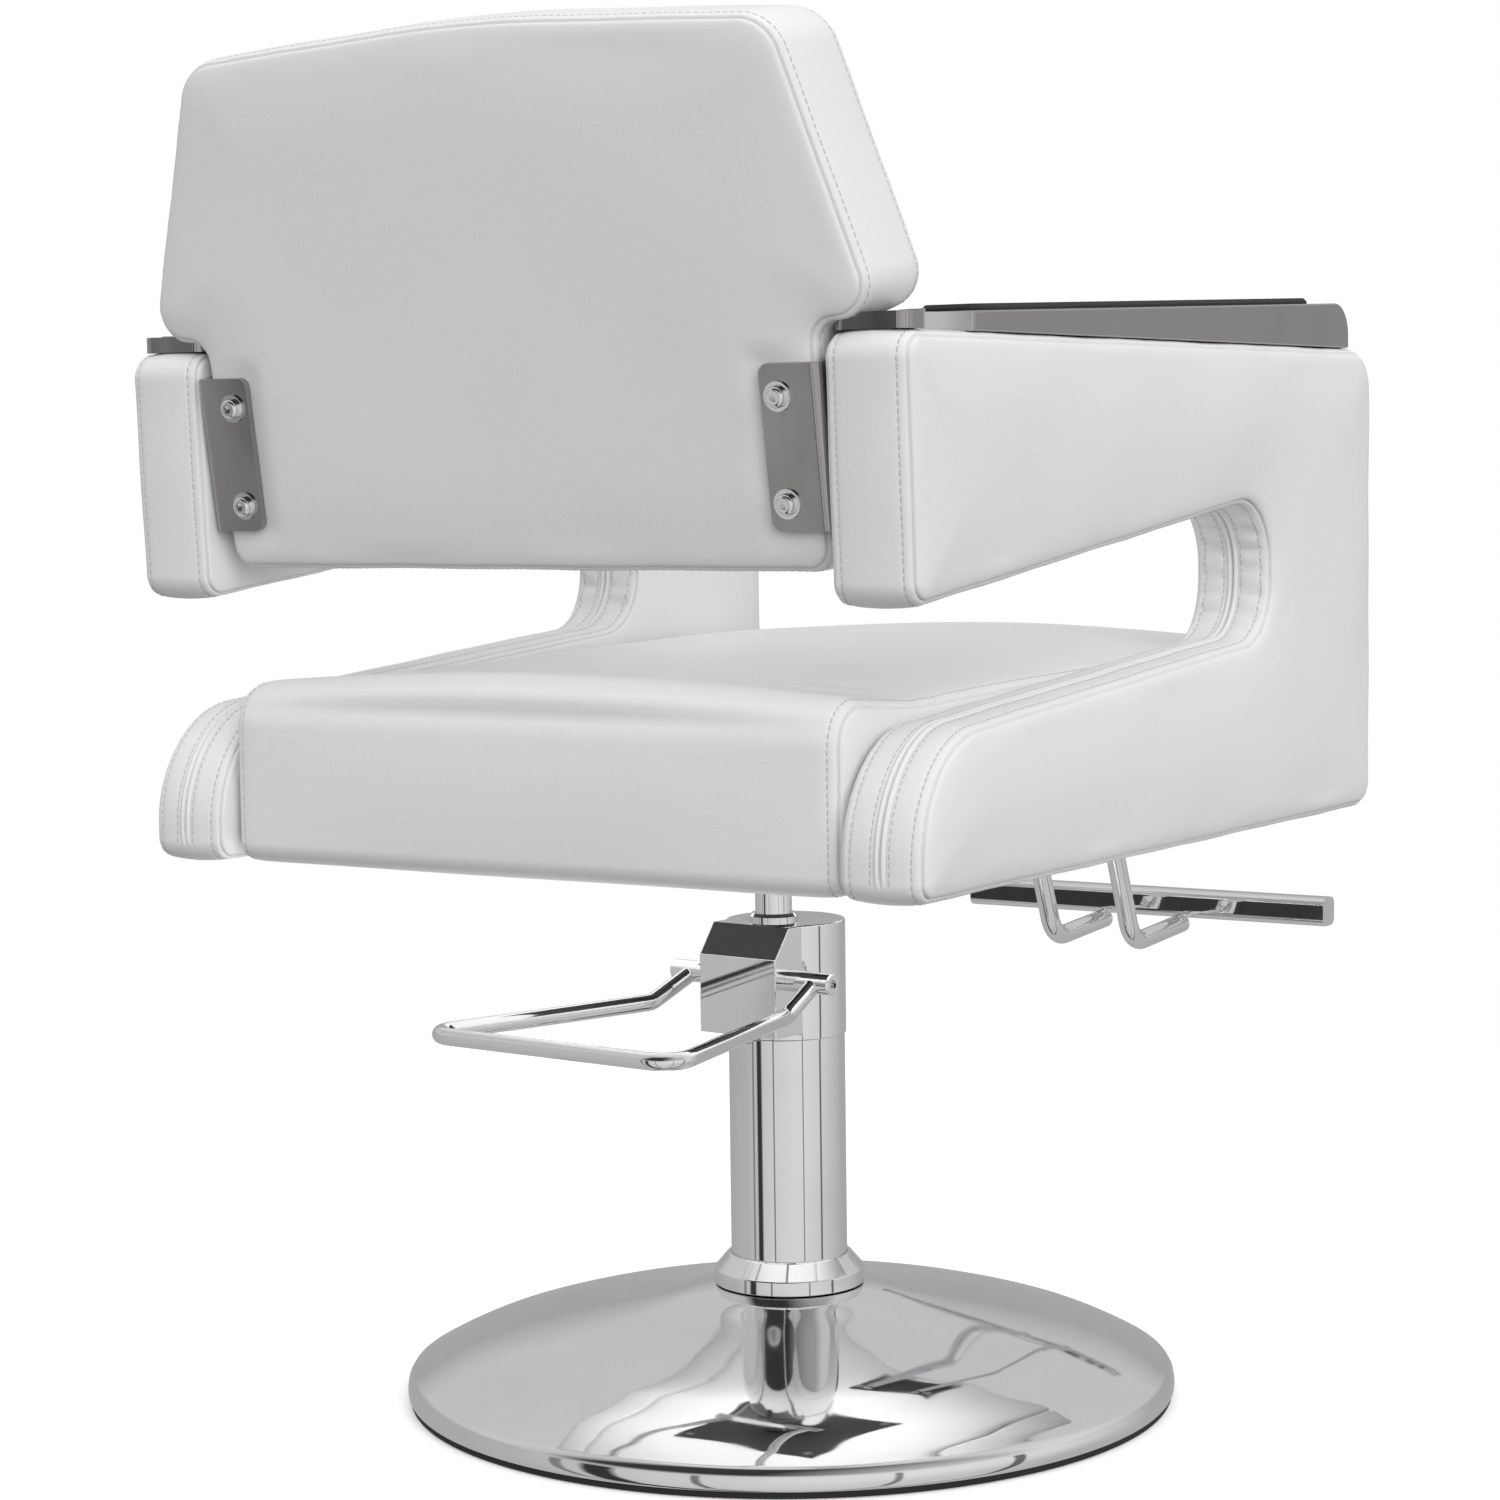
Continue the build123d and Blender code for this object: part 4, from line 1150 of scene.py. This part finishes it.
@dataclass
class BackPad:
    """The backrest: a shouldered outline leaning back, its panels sewn to a boxing."""

    origin: tuple[float, float, float] = (0.0, 320.0, 626.0)
    rake: float = 9.0
    depth: float = 80.0
    half_corners: tuple[tuple[float, float, float], ...] = (
        (244.0, 0.0, 18.0), (246.0, 157.0, 14.0), (293.0, 160.0, 24.0), (234.0, 349.0, 34.0))
    top: tuple[float, float, float] = (0.0, 362.0, 900.0)
    bracket_inner: float = 207.0
    bracket_low: float = 29.0
    bracket_high: float = 135.0
    pressed: float = 4.0

    def held_flat(self, u: Array, v: Array) -> Array:
        """1 under the brackets' rear leaves and 0 away from them."""
        side = step_up(np.abs(u), self.bracket_inner - 14.0, self.bracket_inner - 2.0)
        above = step_up(v, self.bracket_low - 12.0, self.bracket_low)
        return side * above * (1 - step_up(v, self.bracket_high, self.bracket_high + 12.0))

    def swell(self, u: Array, v: Array, at_low: bool) -> Array:
        """Slow unevenness of both panels; the rear one is held flat under the brackets."""
        wave = 0.6 * np.sin(u / 71.0 + 0.4) * np.sin(v / 53.0 + 0.9) + 0.25 * np.sin((u - v) / 33.0)
        if not at_low:
            return wave
        away = np.clip(self.half_corners[0][0] - np.abs(u), 0, None)
        held = self.held_flat(u, v)
        return wave * (1 - held) - held * self.pressed * (1 - hump(away, 34.0))

    def slack(self, s: Array, u: Array, v: Array, q: Array) -> Array:
        """Slow slack waves along the boxing."""
        return 0.4 * np.sin(s / 23.0) * np.sin(s / 61.0 + 0.7)

    def build(self) -> None:
        """Build the backrest."""
        right = list(self.half_corners)
        left = [(-u, v, radius) for u, v, radius in reversed(right)]
        pad = BoxedPad(Outline(tuple(right + [self.top] + left)), 0.0, self.depth, lay=Lay.RAKED,
                       origin=self.origin, rake=self.rake, edge_low=9.0, edge_high=9.0, crown_low=3.6,
                       crown_high=8.0, crown_reach=36.0, box_crown=1.6, net=7.0,
                       box_height=self.slack, panel_height=self.swell)
        dressed_pad(pad, "backrest_cushion")


@dataclass
class RoundBase:
    """The chromed dome, its rubber trim, the collar and the column."""

    dome: tuple[tuple[float, float], ...] = (
        (284.0, 21.5), (270.0, 29.0), (250.0, 38.0), (225.0, 46.0), (200.0, 52.5), (150.0, 62.5),
        (100.0, 72.5), (70.0, 80.0), (45.5, 84.0))
    rim: tuple[tuple[float, float], ...] = (
        (285.2, 4.6), (286.2, 5.4), (287.0, 7.4), (287.3, 10.5), (287.0, 14.0), (286.2, 17.8))
    sheet: float = 2.5
    rim_inside: tuple[tuple[float, float], ...] = ((282.0, 19.0), (283.0, 4.6))
    dome_steps: int = 288
    trim: tuple[tuple[float, float], ...] = (
        (262.0, 0.0), (283.4, 0.0), (284.5, 0.4), (285.1, 1.2), (285.2, 2.4), (285.2, 4.5), (262.0, 4.5))
    collar: tuple[tuple[float, float], ...] = (
        (43.7, 84.6), (56.0, 83.2), (56.5, 83.7), (56.5, 93.3), (56.2, 94.1), (55.6, 94.8), (46.6, 105.3),
        (45.4, 106.0), (43.7, 106.0))
    column: tuple[tuple[float, float], ...] = (
        (41.5, 20.0), (43.2, 20.0), (43.5, 20.4), (43.5, 271.5), (43.1, 272.0), (41.5, 272.0))

    def build(self) -> None:
        """Turn each piece about the column's axis."""
        top = np.vstack([self.rim, smooth_through(self.dome, 7)])
        under = smooth_through([(r, z - self.sheet) for r, z in self.dome[::-1]], 3)
        under = np.vstack([under[:-1], self.rim_inside])
        dome = lathe(np.vstack([top, under]), BASE_AXIS, self.dome_steps)
        dome.made("base_dome", CHROME, Body.BASE, ("base_cover",))
        pieces = (("base_trim", self.trim, RUBBER, "base_rubber_trim"),
                  ("column_collar", self.collar, CHROME, "base_collar"),
                  ("column", self.column, CHROME, "column_tube"))
        for name, profile, finish, node in pieces:
            made = lathe(rounded_profile(profile), BASE_AXIS).made(name, finish, Body.BASE, (node,))
            log.info("%s: %d vertices", made.name, len(made.data.vertices))


def rounded_profile(profile: Sequence[tuple[float, float]], hold: float = 0.15) -> Array:
    """A closed outline with two extra points beside each corner, so that smooth shading stays near it.

    Args:
        profile: The outline's corners.
        hold: How far from its corner an extra point lies.

    Returns:
        The outline with its extra points.
    """
    spots = np.asarray(profile, float)
    ahead, back = np.roll(spots, -1, axis=0) - spots, np.roll(spots, 1, axis=0) - spots
    ahead = spots + ahead * np.minimum(0.3, hold / np.linalg.norm(ahead, axis=1))[:, None]
    back = spots + back * np.minimum(0.3, hold / np.linalg.norm(back, axis=1))[:, None]
    return np.stack([back, spots, ahead], axis=1).reshape(-1, 2)


@dataclass
class FootPedal:
    """The bent bar of the foot pedal."""

    radius: float = 6.2
    bend: float = 18.0
    half_path: tuple[tuple[float, float, float], ...] = (
        (57.0, 45.5, 315.5), (62.0, 83.0, 299.5), (113.0, 275.0, 298.0))

    def build(self) -> None:
        """Carry a round section along the bar's path, turned with the pump."""
        right = [(-x, y, z) for x, y, z in self.half_path]
        path = bent_path(right + list(self.half_path[::-1]), self.bend)
        cos, sin = math.cos(PUMP_YAW), math.sin(PUMP_YAW)
        turn = np.array([[cos, -sin, 0], [sin, cos, 0], [0, 0, 1]])
        bar = tube(path, self.radius, (0, 0, 1)).moved(turn, (*BASE_AXIS, 0.0))
        bar.made("pedal_loop", CHROME, Body.PEDAL, ("pedal_bar",))
        log.info("pedal_loop: %d vertices", len(bar.points))


@dataclass
class ReturnSpring:
    """The wire spring round the pump's plunger, in the pump's box, riding on the base."""

    off_column: float = 52.0
    radius: float = 4.1
    wire: float = 0.55
    bottom: float = 292.9
    height: float = 12.2
    turns: float = 3.8
    squashed: float = 0.6

    def build(self) -> None:
        """Carry the wire along a helix: (r cos t, r sin t, height t / whole angle), turned with the pump."""
        angle = np.linspace(0, 2 * math.pi * self.turns, 160)
        rise = self.bottom + self.height * angle / angle[-1]
        path = np.column_stack([self.radius * np.cos(angle), self.radius * np.sin(angle), rise])
        axis = (BASE_AXIS[0] - self.off_column * math.sin(PUMP_YAW),
                BASE_AXIS[1] + self.off_column * math.cos(PUMP_YAW))
        coil = tube(path, self.wire, (0, 0, 1), 12).moved(np.eye(3), (*axis, 0.0))
        piece = coil.made("plunger_coil", RAW_STEEL, Body.BASE, ("plunger_spring",))
        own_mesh(piece)
        log.info("plunger_coil: %d vertices", len(coil.points))


@dataclass
class Footrest:
    """The two bent tubes of the footrest."""

    off_middle: float = 38.0
    radius: float = 8.2
    bend: float = 28.0
    path: tuple[tuple[float, float], ...] = (
        (-262.0, 408.0), (-478.0, 404.0), (-530.0, 274.0), (-630.0, 280.0))

    def build(self) -> None:
        """Carry a round section along the right tube's path, and mirror it."""
        path = bent_path([(-self.off_middle, y, z) for y, z in self.path], self.bend)
        right = tube(path, self.radius, (1, 0, 0))
        right.made("footrest_tube_right_bent", CHROME, Body.SEAT, ("footrest_tube_right",))
        right.mirrored().made("footrest_tube_left_bent", CHROME, Body.SEAT, ("footrest_tube_left",))
        log.info("footrest tubes: %d vertices each", len(right.points))


def dress_cad_nodes() -> None:
    """Give each CAD node that is still shown the finish of its slot in the record."""
    slots = {part["node"]: part["material_slot"] for part in frame["record"]["subparts"]}
    for name, node in frame["nodes"].items():
        node.data.materials.clear()
        node.data.materials.append(FINISHES[slots[name]].material())


# ------------------------------------------------------------------------- studio
# grey levels of the surround in mirrors, from the far side at 0 to the viewer's at 1
LOW_WALLS = ((0.0, 0.42), (0.25, 0.50), (0.5, 0.52), (0.8, 0.66), (1.0, 0.78))
HIGH_WALLS = ((0.0, 0.62), (0.42, 0.70), (0.58, 0.62), (0.70, 0.05), (1.0, 0.04))
# upright dark strips: azimuth from +Y towards +X and half width in degrees, and depth of tone
DARK_STRIPS = ((26.0, 6.5, 0.96), (40.0, 2.6, 0.6), (-4.0, 1.6, 0.75), (-62.0, 1.4, 0.7), (-100.0, 2.5, 0.8))
STRIP_TOP = 0.22        # a strip's highest z


@dataclass
class Studio:
    """A white room: pale floor, soft lamps, a white surround and the camera."""

    camera_at: tuple[float, float, float] = (-1.3736, 2.2192, 0.7041)
    camera_right: tuple[float, float, float] = (-0.84755, -0.53056, -0.0129)
    camera_up: tuple[float, float, float] = (0.03384, -0.07829, 0.99636)
    camera_ahead: tuple[float, float, float] = (0.52963, -0.84403, -0.08431)
    lens: float = 84.61
    sky: float = 0.90
    ground_light: float = 0.24
    floor_glow: float = 0.22
    floor_reach: float = 1.7
    floor_steps: int = 24
    suns: tuple[tuple, ...] = (
        ("side_sun", (-0.78, 0.50, 0.38), 1.30, 50.0), ("top_sun", (0.15, 0.25, 0.95), 0.26, 80.0))
    sun_far: float = 3.0
    bounce: float = 2.6
    bounce_size: float = 0.44
    bounce_height: float = 0.14

    def build(self) -> None:
        """Set up the floor, surround, lamps and camera."""
        self.floor()
        self.surround()
        for name, towards, strength, spread in self.suns:
            self.sun(name, towards, strength, spread)
        self.lamp_below()
        self.camera()

    def floor(self) -> None:
        """A round floor: rings of growing radius on z = 0."""
        radius = np.linspace(0.02, self.floor_reach, self.floor_steps) / MM
        sheet = lathe(np.column_stack([radius, np.full(self.floor_steps, -0.4)]), steps=64, closed=False)
        mesh = bpy.data.meshes.new("floor")
        mesh.from_pydata((sheet.points * MM).tolist(), [], sheet.quads.tolist())
        made = bpy.data.materials.new("pale_floor")
        made.use_nodes = True
        kit = NodeKit(made.node_tree)
        speck = kit.noise(40.0, 3.0)
        colour = kit.blend(speck, grey(0.93), grey(0.95))
        kit.close("ShaderNodeOutputMaterial", kit.add("ShaderNodeBsdfPrincipled", {}, {
            "Base Color": colour, "Roughness": 0.9, "Specular IOR Level": 0.1,
            "Emission Color": grey(1.0), "Emission Strength": self.floor_glow}))
        mesh.materials.append(made)
        ground = bpy.data.objects.new("floor", mesh)
        ground.visible_glossy = False
        ground.visible_diffuse = False
        bpy.context.scene.collection.objects.link(ground)

    def surround(self) -> None:
        """White to the camera, darker below to matt surfaces, and grey walls with dark strips to mirrors.

        Low directions run from grey at the far side to pale at the viewer's, and high ones from pale at the
        far side to nearly black.
        """
        world = bpy.data.worlds.new("white_room")
        bpy.context.scene.world = world
        world.use_nodes = True
        kit = NodeKit(world.node_tree)
        way = kit.add("ShaderNodeTexCoord", output="Generated")
        z, x = (kit.add("ShaderNodeSeparateXYZ", {}, {0: way}, output=axis) for axis in "ZX")
        half = kit.dot(way, (-self.camera_ahead[0], -self.camera_ahead[1], 0.0)) * 0.5 + 0.5
        low = kit.add("ShaderNodeValToRGB", {"stops": LOW_WALLS}, {"Fac": half})
        high = kit.add("ShaderNodeValToRGB", {"stops": HIGH_WALLS}, {"Fac": half})
        room = kit.blend(z.ramp(0.20, 0.36), low, high)
        room = kit.blend(z.ramp(0.86, 0.95), room, (0.85, 0.85, 0.86, 1.0))
        side = (x * -1.0).ramp(0.35, 0.9) * z.ramp(-0.35, -0.05)
        room = kit.blend(side * 0.5, room, grey(1.05))
        for strip in DARK_STRIPS:
            room = kit.blend(self.strip(kit, way, z, strip), room, (0.015, 0.015, 0.016, 1.0))
        mirrors = kit.add("ShaderNodeLightPath", output="Is Glossy Ray")
        eye = kit.add("ShaderNodeLightPath", output="Is Camera Ray")
        ambient = kit.blend(z.ramp(-0.25, 0.45), grey(self.ground_light), grey(self.sky))
        seen = kit.blend(eye, kit.blend(mirrors, ambient, room), grey(1.0))
        backdrop = kit.add("ShaderNodeBackground", {}, {"Color": seen, "Strength": 1.0})
        kit.close("ShaderNodeOutputWorld", backdrop)

    def strip(self, kit: NodeKit, way: Socket, z: Socket, strip: Sequence[float]) -> Socket:
        """Share of one upright dark strip of the surround, soft at its edges.

        Args:
            kit: The world's nodes.
            way: The direction looked in.
            z: Its height.
            strip: One row of DARK_STRIPS.

        Returns:
            The share, 0 away from the strip.
        """
        azimuth, half_width, depth = strip
        angle = math.radians(azimuth)
        across = kit.dot(way, (math.cos(angle), -math.sin(angle), 0.0))
        ahead = kit.dot(way, (math.sin(angle), math.cos(angle), 0.0))
        reach = math.sin(math.radians(half_width))
        core = 1.0 - (across * across).ramp((0.55 * reach) ** 2, reach ** 2)
        return core * ahead.ramp(0.0, 0.2) * (1.0 - z.ramp(STRIP_TOP - 0.08, STRIP_TOP)) * depth

    def sun(self, name: str, towards: tuple[float, float, float], strength: float, spread: float) -> None:
        """A soft lamp far away.

        Args:
            name: Its name.
            towards: Direction from the chair to the lamp.
            strength: Its strength in watts on a square metre.
            spread: The angle that it fills, in degrees.
        """
        light = bpy.data.lights.new(name, "SUN")
        light.energy = strength
        light.angle = math.radians(spread)
        turn = (-Vector(towards)).to_track_quat("-Z", "Y").to_euler()
        self.hang(light, [self.sun_far * part for part in towards], turn)

    def lamp_below(self) -> None:
        """A weak round lamp over the base, for the light that the floor throws up at the seat's underside."""
        light = bpy.data.lights.new("floor_bounce", "AREA")
        light.shape = "DISK"
        light.size = self.bounce_size
        light.energy = self.bounce
        self.hang(light, (0.0, 0.0, self.bounce_height), (math.pi, 0.0, 0.0)).visible_camera = False

    @staticmethod
    def hang(light: bpy.types.Light, at: Sequence[float], turn: Sequence[float]) -> bpy.types.Object:
        """Put a light into the room, out of sight of mirrors.

        Args:
            light: The light.
            at: Where it hangs, in metres.
            turn: Its Euler angles.

        Returns:
            The lamp.
        """
        lamp = bpy.data.objects.new(light.name, light)
        lamp.location, lamp.rotation_euler = at, turn
        lamp.visible_glossy = False
        bpy.context.scene.collection.objects.link(lamp)
        return lamp

    def camera(self) -> None:
        """A camera without shift, at the viewing angle of a catalogue view from behind."""
        lens = bpy.data.cameras.new("camera")
        lens.lens = self.lens
        lens.sensor_width = 36.0
        camera = bpy.data.objects.new("camera", lens)
        turned = Matrix([self.camera_right, self.camera_up, [-a for a in self.camera_ahead]]).transposed()
        camera.matrix_world = Matrix.Translation(self.camera_at) @ turned.to_4x4()
        bpy.context.scene.collection.objects.link(camera)
        bpy.context.scene.camera = camera
        bpy.context.scene.view_settings.view_transform = "Standard"
        log.info("camera: lens %.1f mm", self.lens)


def main() -> None:
    """Build the chair's pieces in order, then the studio."""
    logging.basicConfig(level=logging.INFO, format="%(name)s: %(message)s")
    dress_cad_nodes()
    for part in (RoundBase(), FootPedal(), ReturnSpring(), Footrest(), Arms(), SeatPad(), BackPad()):
        part.build()
        log.info("%s done", type(part).__name__)
    Studio().build()


if __name__ == "__main__":
    main()
